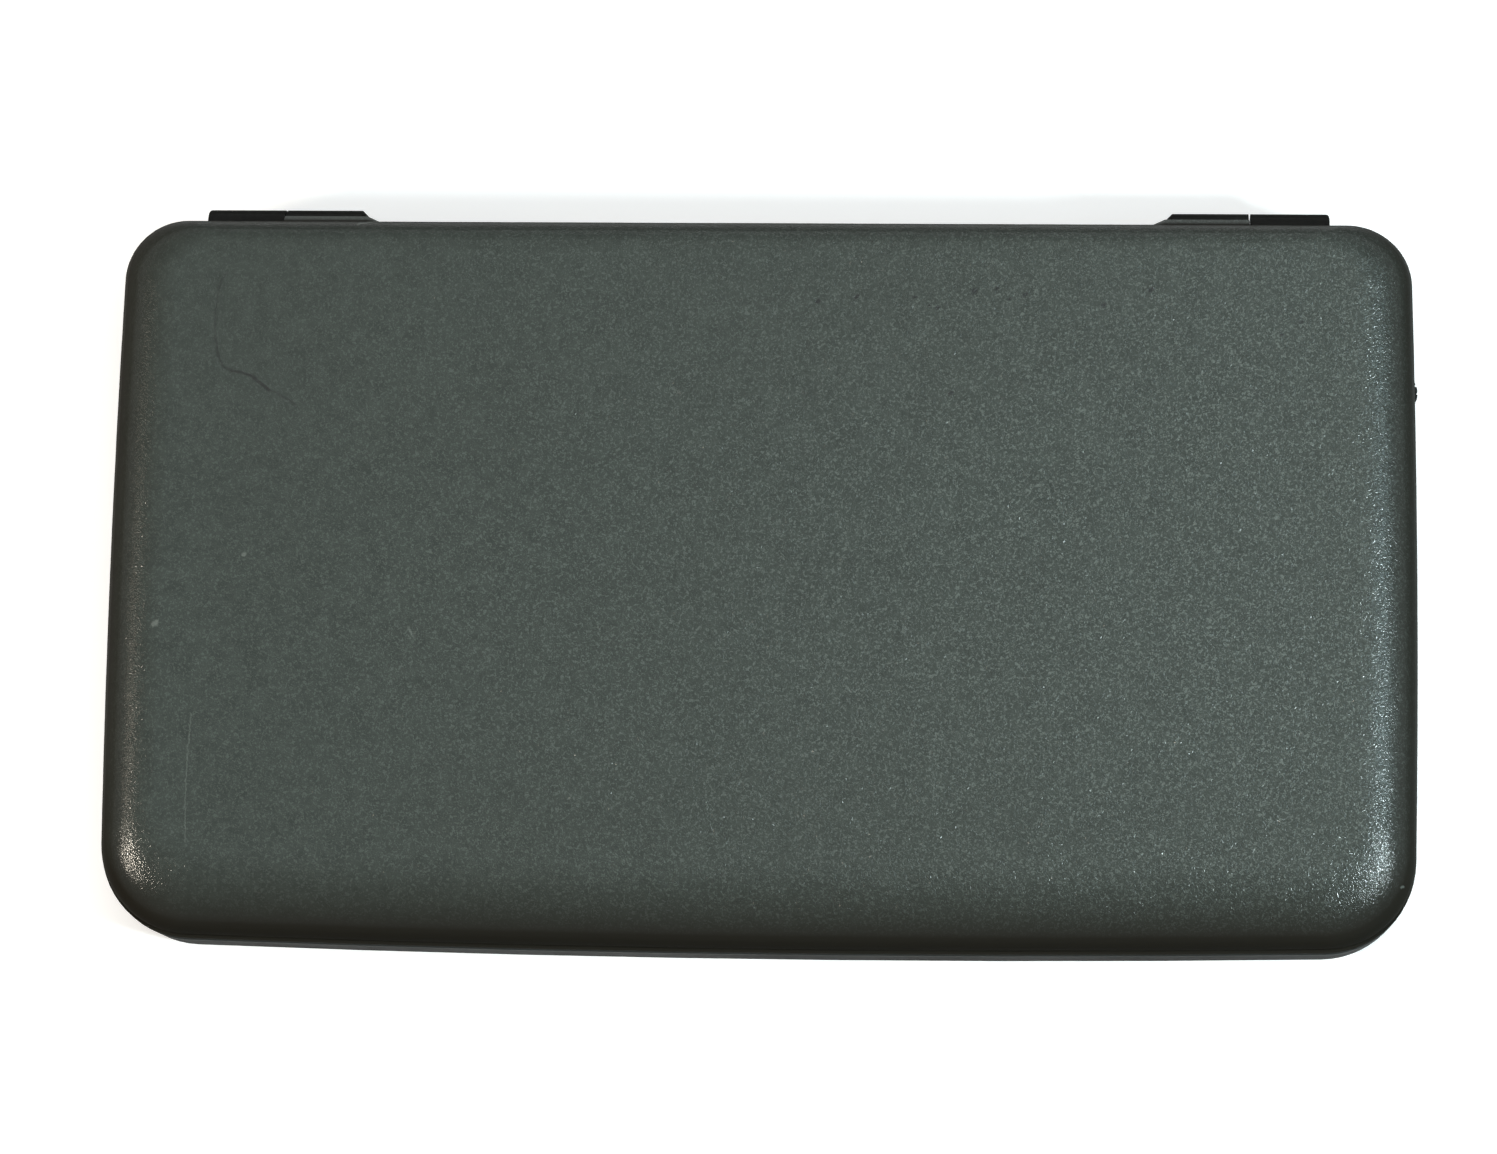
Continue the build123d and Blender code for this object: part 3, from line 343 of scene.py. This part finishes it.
def ribbon_film():
    """Amber film with raised tracks along it."""
    track_pitch, tracks_half_width = 0.8 * MM, 6.2 * MM
    n = Nodes("ribbon_film")
    x = n.axes()[0]
    on_track = n.math("LESS_THAN", n.share_of_pitch(x, track_pitch), 0.5)
    tracks = n.math("MULTIPLY", on_track, n.within(x, tracks_half_width))
    film = n.mix(n.spread(n.noise(300, 2.0), 0.3, 0.7), (0.27, 0.11, 0.02), (0.36, 0.16, 0.035))
    n.bump(tracks, 0.3, 0.03 * MM)
    return n.finish(n.mix(tracks, film, (0.5, 0.27, 0.09)), 0.32)


def circuit_board():
    """Green solder mask with paler lines under it."""
    n = Nodes("circuit_board")
    bricks = {"Vector": n.place, "Scale": 180.0, "Mortar Size": 0.03}
    lines = n.add("ShaderNodeTexBrick", bricks).outputs["Fac"]
    mask = n.mix(n.spread(n.noise(400, 3.0), 0.3, 0.7), (0.012, 0.07, 0.025), (0.02, 0.1, 0.04))
    n.bump(lines, 0.2, 0.03 * MM)
    return n.finish(n.mix(n.math("MULTIPLY", lines, 0.6), mask, (0.05, 0.2, 0.08)), 0.35)


looks = {
    "lid_paint": painted_lid(),
    "dark_plastic": moulded("dark_plastic", (0.0075, 0.0075, 0.007), (0.016, 0.016, 0.0145)),
    "panel_plastic": moulded(
        "panel_plastic", (0.019, 0.021, 0.020), (0.03, 0.033, 0.031), 2000, 0.04 * MM, 0.45, 0.58, 0.25
    ),
    "key_plastic": moulded(
        "key_plastic", (0.3, 0.31, 0.3), (0.37, 0.38, 0.37), 2200, 0.02 * MM, 0.42, 0.55, 0.2
    ),
    "printed_film": moulded(
        "printed_film", (0.05, 0.075, 0.075), (0.062, 0.09, 0.09), 1800, 0.02 * MM, 0.35, 0.45, 0.2
    ),
    "clear_window": clear_window(),
    "lcd_glass": lcd_glass(),
    "circuit_board": circuit_board(),
    "chip_plastic": moulded("chip_plastic", (0.012, 0.012, 0.012), (0.025, 0.025, 0.025)),
    "key_rubber": moulded("key_rubber", (0.34, 0.34, 0.32), (0.44, 0.44, 0.42), 500, low=0.6, high=0.75),
    "ribbon_film": ribbon_film(),
    "spring_metal": brushed("spring_metal", (0.5, 0.48, 0.43), (0.7, 0.68, 0.62)),
    "cell_steel": brushed("cell_steel", (0.5, 0.5, 0.5), (0.7, 0.7, 0.7)),
    "buzzer_brass": brushed("buzzer_brass", (0.55, 0.38, 0.14), (0.75, 0.56, 0.27)),
    "screw_steel": brushed("screw_steel", (0.2, 0.2, 0.21), (0.36, 0.36, 0.37)),
}
white_print = plain_print("white_print", (0.62, 0.63, 0.61))
dark_print = plain_print("dark_print", (0.018, 0.02, 0.02))
black_print = plain_print("black_print", (0.006, 0.006, 0.006))
blue_print = plain_print("blue_print", (0.10, 0.21, 0.26))

node_slots = {entry["node"]: entry["material_slot"] for entry in frame["record"]["subparts"]}
for node, obj in frame["nodes"].items():
    obj.data.materials.clear()
    obj.data.materials.append(looks[node_slots[node]])


# Meshes --------------------------------------------------------------------------------------


def added(name, data):
    """A new object in the scene."""
    obj = bpy.data.objects.new(name, data)
    bpy.context.scene.collection.objects.link(obj)
    return obj


def piece(name, mesh, body, material):
    obj = added(name, mesh)
    mesh.materials.clear()
    mesh.materials.append(material)
    if body:
        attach(obj, body)
    return obj


def finished(name, work):
    """The mesh of what was worked on, with its faces turned outwards."""
    bmesh.ops.recalc_face_normals(work, faces=work.faces)
    mesh = bpy.data.meshes.new(name)
    work.to_mesh(mesh)
    work.free()
    return mesh


def evaluated_mesh(obj):
    """An object's mesh with its modifiers, or its letters as a mesh."""
    return bpy.data.meshes.new_from_object(obj.evaluated_get(bpy.context.evaluated_depsgraph_get()))


def shade_smooth(mesh, degrees):
    """Smooth shading, with sharp edges where faces meet at more than the angle."""
    work = bmesh.new()
    work.from_mesh(mesh)
    limit = math.radians(degrees)
    for face in work.faces:
        face.smooth = True
    for edge in work.edges:
        edge.smooth = len(edge.link_faces) != 2 or edge.calc_face_angle(0.0) < limit
    work.to_mesh(mesh)
    work.free()


def joined(name, meshes):
    work = bmesh.new()
    for mesh in meshes:
        work.from_mesh(mesh)
    whole = bpy.data.meshes.new(name)
    work.to_mesh(whole)
    work.free()
    for mesh in meshes:
        bpy.data.meshes.remove(mesh)
    return whole


def middle_of(low, high):
    return (low.x + high.x) / 2, (low.y + high.y) / 2


def rounded_loop(middle, width, depth, radius, steps=5):
    """Points round a rectangle with round corners."""
    points = []
    for turn, (side_x, side_y) in enumerate(((1, 1), (-1, 1), (-1, -1), (1, -1))):
        corner_x = middle[0] + side_x * (width / 2 - radius)
        corner_y = middle[1] + side_y * (depth / 2 - radius)
        for step in range(steps + 1):
            angle = math.radians(90 * turn + 90 * step / steps)
            points.append((corner_x + radius * math.cos(angle), corner_y + radius * math.sin(angle)))
    return points


def at_height(points, z):
    return [(x, y, z) for x, y in points]


def lofted(name, loops):
    """A closed mesh through loops of points of equal count, with its first and last loop capped."""
    work = bmesh.new()
    rings = [[work.verts.new(p) for p in loop] for loop in loops]
    count = len(rings[0])
    for low, high in zip(rings, rings[1:]):
        for i in range(count):
            j = (i + 1) % count
            work.faces.new((low[i], low[j], high[j], high[i]))
    work.faces.new(list(reversed(rings[0])))
    work.faces.new(rings[-1])
    return finished(name, work)


def frame_mesh(name, outer, inner, low, high):
    """A flat ring between two loops of points."""
    work = bmesh.new()
    rings = [[work.verts.new((x, y, z)) for x, y in loop] for z in (low, high) for loop in (outer, inner)]
    out_low, in_low, out_high, in_high = rings
    count = len(outer)
    for i in range(count):
        j = (i + 1) % count
        work.faces.new((out_low[i], out_low[j], out_high[j], out_high[i]))
        work.faces.new((in_low[j], in_low[i], in_high[i], in_high[j]))
        work.faces.new((out_high[i], out_high[j], in_high[j], in_high[i]))
        work.faces.new((out_low[j], out_low[i], in_low[i], in_low[j]))
    return finished(name, work)


# Key caps and their legends ------------------------------------------------------------------

print_thickness = 0.012 * MM
cap_overhang = 0.6 * MM
cap_flange = 0.45 * MM
cap_corner = 1.6 * MM
cap_edge = 0.5 * MM
cap_edge_steps = 5
cap_hollow = 0.14 * MM
cap_hollow_corner = 1.1 * MM
arrow_length = 3.0 * MM


def key_cap(name, node):
    """A key cap with round edges and a hollowed top, its middle seen from above, and its top's height."""
    low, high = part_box(node)
    middle = middle_of(low, high)
    width, depth = high.x - low.x - 2 * cap_overhang, high.y - low.y - 2 * cap_overhang
    flange_top = low.z + cap_flange
    rings = [
        (-cap_overhang, cap_corner, low.z),
        (-cap_overhang, cap_corner, flange_top),
        (0, cap_corner, flange_top),
        (0, cap_corner, high.z - cap_edge),
    ]
    for step in range(1, cap_edge_steps + 1):
        angle = math.radians(90 * step / cap_edge_steps)
        inset = cap_edge * (1 - math.cos(angle))
        rings.append((inset, cap_corner - inset, high.z - cap_edge * (1 - math.sin(angle))))
    loops = []
    for inset, radius, z in rings:
        loops.append(at_height(rounded_loop(middle, width - 2 * inset, depth - 2 * inset, radius), z))

    def hollowed(x, y):
        u = min(abs(x - middle[0]) / (width / 2 - cap_edge), 1.0)
        v = min(abs(y - middle[1]) / (depth / 2 - cap_edge), 1.0)
        return high.z - cap_hollow * (1 - u * u) * (1 - v * v)

    for share in (0.86, 0.7, 0.5, 0.3, 0.12):
        size_x, size_y = (width - 2 * cap_edge) * share, (depth - 2 * cap_edge) * share
        points = rounded_loop(middle, size_x, size_y, cap_hollow_corner * share)
        loops.append([(x, y, hollowed(x, y)) for x, y in points])
    mesh = lofted(name, loops)
    shade_smooth(mesh, 40)
    return mesh, middle, high.z


def drape(mesh, onto, height, thickness):
    """Lays a thin flat mesh, whose middle is at a height, on the hollowed top of a key cap."""
    surface = BVHTree.FromPolygons([v.co for v in onto.vertices], [list(p.vertices) for p in onto.polygons])
    for vertex in mesh.vertices:
        hit = surface.ray_cast(Vector((vertex.co.x, vertex.co.y, height + MM)), Vector((0, 0, -1)))[0]
        vertex.co.z = hit.z + (thickness if vertex.co.z > height else -thickness)


def lettering(name, text, size, middle, height, face_down=False):
    """Printed letters as a thin mesh that lies at a height. They are shaped in millimetres, then scaled."""
    curve = bpy.data.curves.new(name, "FONT")
    curve.body = text
    curve.size = size / MM
    curve.align_x = "CENTER"
    curve.align_y = "CENTER"
    curve.extrude = print_thickness / MM / 2
    curve.resolution_u = 3
    holder = added(name, curve)
    mesh = evaluated_mesh(holder)
    bpy.data.objects.remove(holder)
    bpy.data.curves.remove(curve)
    mesh.name = name
    mesh.transform(Matrix.Scale(MM, 4))
    if text in ",.":
        xs, ys = [v.co.x for v in mesh.vertices], [v.co.y for v in mesh.vertices]
        mesh.transform(Matrix.Translation((-(min(xs) + max(xs)) / 2, -(min(ys) + max(ys)) / 2, 0)))
    if face_down:
        mesh.transform(Matrix.Rotation(math.pi, 4, "Y"))
    mesh.transform(Matrix.Translation((middle[0], middle[1], height)))
    return mesh


def arrow_mesh(name, middle, way, height):
    """A small printed arrowhead that points along X."""
    x, y = middle
    tip, back = x + way * arrow_length / 2, x - way * arrow_length / 2
    notch, half = way * arrow_length * 0.25, arrow_length * 0.55
    points = [(tip, y), (back, y + half), (back + notch, y), (back, y - half)]
    rises = (-print_thickness / 2, print_thickness / 2)
    return lofted(name, [at_height(points, height + rise) for rise in rises])


def legend_size(text):
    """Size of a legend: punctuation is set large and words small."""
    if text in ",.":
        return 7.5 * MM
    return 3.6 * MM if len(text) == 1 else 2.1 * MM


for row in letters_by_row:
    for node, text in row:
        mesh, middle, height = key_cap(f"cap_{node[4:]}", node)
        cap = piece(f"cap_{node[4:]}", mesh, f"{node}_body", looks["key_plastic"])
        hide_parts(node)
        if text:
            print_mesh = lettering(f"legend_{node[4:]}", text, legend_size(text), middle, height)
        else:
            print_mesh = arrow_mesh(f"legend_{node[4:]}", middle, -1 if node == "key_left" else 1, height)
        drape(print_mesh, mesh, height, print_thickness)
        piece(f"legend_{node[4:]}", print_mesh, f"{node}_body", dark_print)


# Print on the panel, the mode sheet and the window -------------------------------------------

# Figures above the top row of keys
figure_size, figure_above_key = 2.0 * MM, 1.2 * MM
panel_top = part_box("keyboard_panel")[1].z
figures = []
for number, (node, _) in enumerate(letters_by_row[3]):
    low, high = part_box(node)
    place = (middle_of(low, high)[0], high.y + figure_above_key)
    figures.append(lettering("figure", str((number + 1) % 10), figure_size, place, panel_top))
piece("panel_figures", joined("panel_figures", figures), "base", white_print)

# Touch keys of the mode sheet, with a word under each
mode_words = ["TEL", "MEMO", "DATE", "CALENDAR", "CLOCK", "WORLD", "CALC", "MENU"]
sheet_margin = 3 * MM
pad_gap, pad_depth, pad_corner, pad_rise, pad_sunk = 2.2 * MM, 8.6 * MM, 1.2 * MM, 0.012 * MM, 0.01 * MM
pad_above_middle, word_below_middle, word_size = 1.7 * MM, 5.6 * MM, 1.9 * MM
sheet_low, sheet_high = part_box("mode_key_sheet")
sheet_y = (sheet_low.y + sheet_high.y) / 2
pad_pitch = (sheet_high.x - sheet_low.x - 2 * sheet_margin) / len(mode_words)
pads, words = [], []
for number, word in enumerate(mode_words):
    x = sheet_low.x + sheet_margin + (number + 0.5) * pad_pitch
    outline = rounded_loop((x, sheet_y + pad_above_middle), pad_pitch - pad_gap, pad_depth, pad_corner, 4)
    pads.append(lofted("pad", [at_height(outline, sheet_high.z + rise) for rise in (-pad_sunk, pad_rise)]))
    words.append(lettering("word", word, word_size, (x, sheet_y - word_below_middle), sheet_high.z))
piece("mode_pads", joined("mode_pads", pads), "base", blue_print)
piece("mode_words", joined("mode_words", words), "base", white_print)

# Black border on the window's back, which hides the edges of the display
window_low, window_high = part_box("display_window")
window_middle = middle_of(window_low, window_high)
window_corner = 2.5 * MM
opening_width, opening_depth, opening_corner = 92.5 * MM, 32.5 * MM, 1.2 * MM
border_gap, border_thickness = 0.005 * MM, 0.03 * MM
outer = rounded_loop(
    window_middle, window_high.x - window_low.x, window_high.y - window_low.y, window_corner
)
inner = rounded_loop(window_middle, opening_width, opening_depth, opening_corner)
border_low = window_high.z + border_gap
border = frame_mesh("window_print", outer, inner, border_low, border_low + border_thickness)
piece("window_print", border, "lid", black_print)


# Screws with cross recesses ------------------------------------------------------------------


def circle(middle, radius, count=32):
    angles = [2 * math.pi * i / count for i in range(count)]
    return [(middle[0] + radius * math.cos(angle), middle[1] + radius * math.sin(angle)) for angle in angles]


def screw_mesh(name, middle, head_radius, face_z, head_height, shank_radius, tip_z):
    """A screw whose head faces down, with a tapered cross recess."""
    edge = 0.15 * head_height
    profile = [
        (head_radius - 2 * edge, face_z),
        (head_radius - 0.6 * edge, face_z + 0.5 * edge),
        (head_radius, face_z + 1.5 * edge),
        (head_radius, face_z + head_height),
        (shank_radius, face_z + head_height),
        (shank_radius, tip_z - shank_radius * 0.6),
        (shank_radius * 0.5, tip_z),
    ]
    screw = added(name, lofted(name, [at_height(circle(middle, radius), z) for radius, z in profile]))
    # Each bar of the cross is wide outside the head and narrow at the bottom of the recess
    reach, half, deep = head_radius * 0.62, head_radius * 0.14, head_height * 0.6
    head_turn = 20
    cutters = []
    for turn in (0, 90):
        spin = Matrix.Rotation(math.radians(turn + head_turn), 2)
        loops = []
        for z, share in ((face_z - deep, 1.3), (face_z + deep, 0.55)):
            corners = [
                spin @ Vector((side_x * reach * share, side_y * half))
                for side_x, side_y in ((-1, -1), (1, -1), (1, 1), (-1, 1))
            ]
            loops.append([(middle[0] + corner.x, middle[1] + corner.y, z) for corner in corners])
        cutter = added("cutter", lofted("cutter", loops))
        cutters.append(cutter)
        cut = screw.modifiers.new("cut", "BOOLEAN")
        cut.operation = "DIFFERENCE"
        cut.solver = "EXACT"
        cut.object = cutter
    result = evaluated_mesh(screw)
    for obj in (screw, *cutters):
        old = obj.data
        bpy.data.objects.remove(obj)
        bpy.data.meshes.remove(old)
    shade_smooth(result, 35)
    return result


def screw_places(node):
    """Middles of a node's separate screws, seen from above."""
    work = bmesh.new()
    work.from_mesh(frame["nodes"][node].data)
    bmesh.ops.remove_doubles(work, verts=work.verts, dist=1e-7)
    left = set(work.verts)
    places = []
    while left:
        group, rim = set(), [left.pop()]
        while rim:
            vertex = rim.pop()
            group.add(vertex)
            for edge in vertex.link_edges:
                other = edge.other_vert(vertex)
                if other in left:
                    left.discard(other)
                    rim.append(other)
        xs, ys = [v.co.x for v in group], [v.co.y for v in group]
        places.append(((min(xs) + max(xs)) / 2, (min(ys) + max(ys)) / 2))
    work.free()
    return sorted(places)


for node, body, head_radius, head_height, shank_radius in (
    ("case_screws", "base", 1.6, 0.9, 0.8),
    ("lid_screws", "lid", 1.4, 0.6, 0.7),
):
    low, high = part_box(node)
    meshes = [
        screw_mesh("screw", place, head_radius * MM, low.z, head_height * MM, shank_radius * MM, high.z)
        for place in screw_places(node)
    ]
    whole = joined(f"{node}_crossed", meshes)
    screws = piece(f"{node}_crossed", whole, body, looks["screw_steel"])
    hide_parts(node)


# Ribbon that bends past the hinge ------------------------------------------------------------


def strip(name, path, low_x, high_x, thickness, columns=8):
    """A thin band along a path in the YZ plane."""
    work = bmesh.new()

    def row(point):
        xs = [low_x + (high_x - low_x) * c / columns for c in range(columns + 1)]
        return [work.verts.new((x, point.x, point.y)) for x in xs]

    grid = []
    for place, point in enumerate(path):
        before = Vector(path[max(place - 1, 0)])
        after = Vector(path[min(place + 1, len(path) - 1)])
        along = (after - before).normalized()
        across = Vector((-along.y, along.x)) * thickness / 2
        grid.append((row(Vector(point) + across), row(Vector(point) - across)))
    for near, far in zip(grid, grid[1:]):
        for c in range(columns):
            work.faces.new((near[0][c], near[0][c + 1], far[0][c + 1], far[0][c]))
            work.faces.new((near[1][c + 1], near[1][c], far[1][c], far[1][c + 1]))
        work.faces.new((near[0][0], far[0][0], far[1][0], near[1][0]))
        work.faces.new((near[0][-1], near[1][-1], far[1][-1], far[0][-1]))
    for end, flip in ((grid[0], False), (grid[-1], True)):
        for c in range(columns):
            loop = [end[0][c], end[1][c], end[1][c + 1], end[0][c + 1]]
            work.faces.new(loop if not flip else list(reversed(loop)))
    mesh = finished(name, work)
    shade_smooth(mesh, 50)
    return mesh


def quarter_turn(y, z, radius, start, steps=6):
    """Points of a quarter circle in the YZ plane, from an angle in degrees but without its first point."""
    angles = [math.radians(start + 90 * step / steps) for step in range(1, steps + 1)]
    return [(y + radius * math.cos(angle), z + radius * math.sin(angle)) for angle in angles]


ribbon_low, ribbon_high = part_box("display_ribbon")
thickness = 0.15 * MM
socket_y = 33.2 * MM
bend = 0.6 * MM
wall_steps = 32
wall_y = ribbon_high.y - thickness / 2
low_z, high_z = ribbon_low.z + thickness / 2, ribbon_high.z - thickness / 2
rise = high_z - low_z - 2 * bend
path = [(socket_y, low_z), (wall_y - bend, low_z)]
path += quarter_turn(wall_y - bend, low_z + bend, bend, -90)
path += [(wall_y, low_z + bend + rise * step / wall_steps) for step in range(1, wall_steps + 1)]
path += quarter_turn(wall_y - bend, high_z - bend, bend, 0)
path.append((ribbon_low.y, high_z))
band = piece(
    "display_ribbon_band",
    strip("display_ribbon_band", path, ribbon_low.x, ribbon_high.x, thickness),
    None,
    looks["ribbon_film"],
)
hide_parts("display_ribbon")
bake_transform(band)


# A word on the battery cover, which is set back from the underside
cover_low, cover_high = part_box("battery_cover")
word_place = (cover_low.x + 21 * MM, -6 * MM)
open_word = lettering("cover_word", "OPEN", 2.6 * MM, word_place, cover_low.z, face_down=True)
piece("cover_word", open_word, "cover", white_print)


# Floor, light and camera ---------------------------------------------------------------------


def seen_as_background(n):
    """1 for rays from the camera, off a gloss or through glass, and 0 for the light that bounces."""
    rays = n.add("ShaderNodeLightPath").outputs
    seen = n.math("MAXIMUM", rays["Is Camera Ray"], rays["Is Glossy Ray"])
    return n.math("MAXIMUM", seen, rays["Is Transmission Ray"])


# The floor glows as bright as the paper of a white set, and less near the organizer, where its shadow falls
sky_level = 0.15
floor_glow, glow_from, glow_to = 0.4, 0.35, 0.9
floor_mesh = bpy.data.meshes.new("floor")
work = bmesh.new()
bmesh.ops.create_circle(work, cap_ends=True, segments=96, radius=4.0)
work.to_mesh(floor_mesh)
work.free()
floor = added("floor", floor_mesh)
ground = Nodes("floor")
background = seen_as_background(ground)
shade = ground.mix(background, (0.1, 0.1, 0.1), (0.85, 0.85, 0.85))
ground.finish(shade, 0.9, Specular_IOR_Level=0.0, Emission_Color=(1, 1, 1, 1))
distance = ground.vector("LENGTH", ground.place, output="Value")
glow = ground.spread(distance, glow_from, glow_to, floor_glow, 1.0)
ground.put(ground.shader.inputs["Emission Strength"], ground.math("MULTIPLY", background, glow))
floor_mesh.materials.append(ground.material)

# The room is white at the horizon and dim overhead. The camera sees it white all over
world = bpy.data.worlds.new("studio")
bpy.context.scene.world = world
world.use_nodes = True
sky = Nodes.in_tree(world.node_tree)
direction = sky.add("ShaderNodeTexCoord").outputs["Generated"]
upwards = sky.add("ShaderNodeSeparateXYZ", {0: direction}).outputs["Z"]
horizon = sky.spread(upwards, 0.1, 0.4, 1.0, sky_level)
to_camera = sky.add("ShaderNodeLightPath").outputs["Is Camera Ray"]
seen = sky.math("MAXIMUM", horizon, to_camera)
strength = sky.add("ShaderNodeMix", {0: seen_as_background(sky), 2: sky_level, 3: seen}).outputs[0]
sky_shader = sky.tree.nodes["Background"]
sky.put(sky_shader.inputs["Strength"], strength)
sky.put(sky_shader.inputs["Color"], (0.97, 0.98, 1.0, 1))


def lamp(name, place, aim, size, power, colour, highlight=True):
    light = bpy.data.lights.new(name, "AREA")
    light.shape = "RECTANGLE"
    light.size, light.size_y = size
    light.energy = power
    light.color = colour
    obj = added(name, light)
    obj.location = place
    obj.rotation_euler = (Vector(aim) - Vector(place)).to_track_quat("-Z", "Y").to_euler()
    obj.visible_glossy = obj.visible_transmission = highlight


centre, right_half, left_half = (0, 0, 0), (0.04, 0, 0), (-0.04, 0, 0)
lamp("overhead", (-0.05, 0.3, 1.1), centre, (0.8, 0.8), 5.0, (1.0, 1.0, 0.98), highlight=False)
lamp("ceiling", (0.28, 0.24, 1.0), centre, (0.6, 0.6), 0.5, (0.9, 1.0, 0.96))
lamp("right", (0.42, -0.04, 0.4), right_half, (0.36, 0.06), 0.6, (0.68, 0.93, 1.0))
lamp("right front", (0.42, -0.145, 0.36), right_half, (0.06, 0.04), 2.1, (0.82, 0.98, 1.0))
lamp("left", (-0.56, 0.015, 0.33), left_half, (0.13, 0.04), 0.17, (1.0, 0.86, 0.7))
lamp("left front", (-0.56, -0.185, 0.33), left_half, (0.09, 0.04), 2.3, (1.0, 0.9, 0.76))

# The camera stands where the photo was taken from
photo_width, focal_pixels = 1497, 4492.9
camera_data = bpy.data.cameras.new("camera")
camera_data.sensor_fit = "HORIZONTAL"
camera_data.sensor_width = 36.0
camera_data.lens = camera_data.sensor_width * focal_pixels / photo_width
camera_data.clip_start = 0.01
camera_data.clip_end = 20.0
camera = added("camera", camera_data)
bpy.context.scene.camera = camera
tilt_x, tilt_y, tilt_z = (math.radians(a) for a in (-9.414, -3.246, -1.043))
world_to_camera = (
    Matrix.Rotation(tilt_x, 3, "X") @ Matrix.Rotation(tilt_y, 3, "Y") @ Matrix.Rotation(tilt_z, 3, "Z")
)
camera_to_world = world_to_camera.transposed()
offset = Vector((1.535, -2.243, -469.04)) * MM
camera.matrix_world = Matrix.LocRotScale(-(camera_to_world @ offset), camera_to_world, None)

bpy.context.scene.view_settings.view_transform = "Standard"
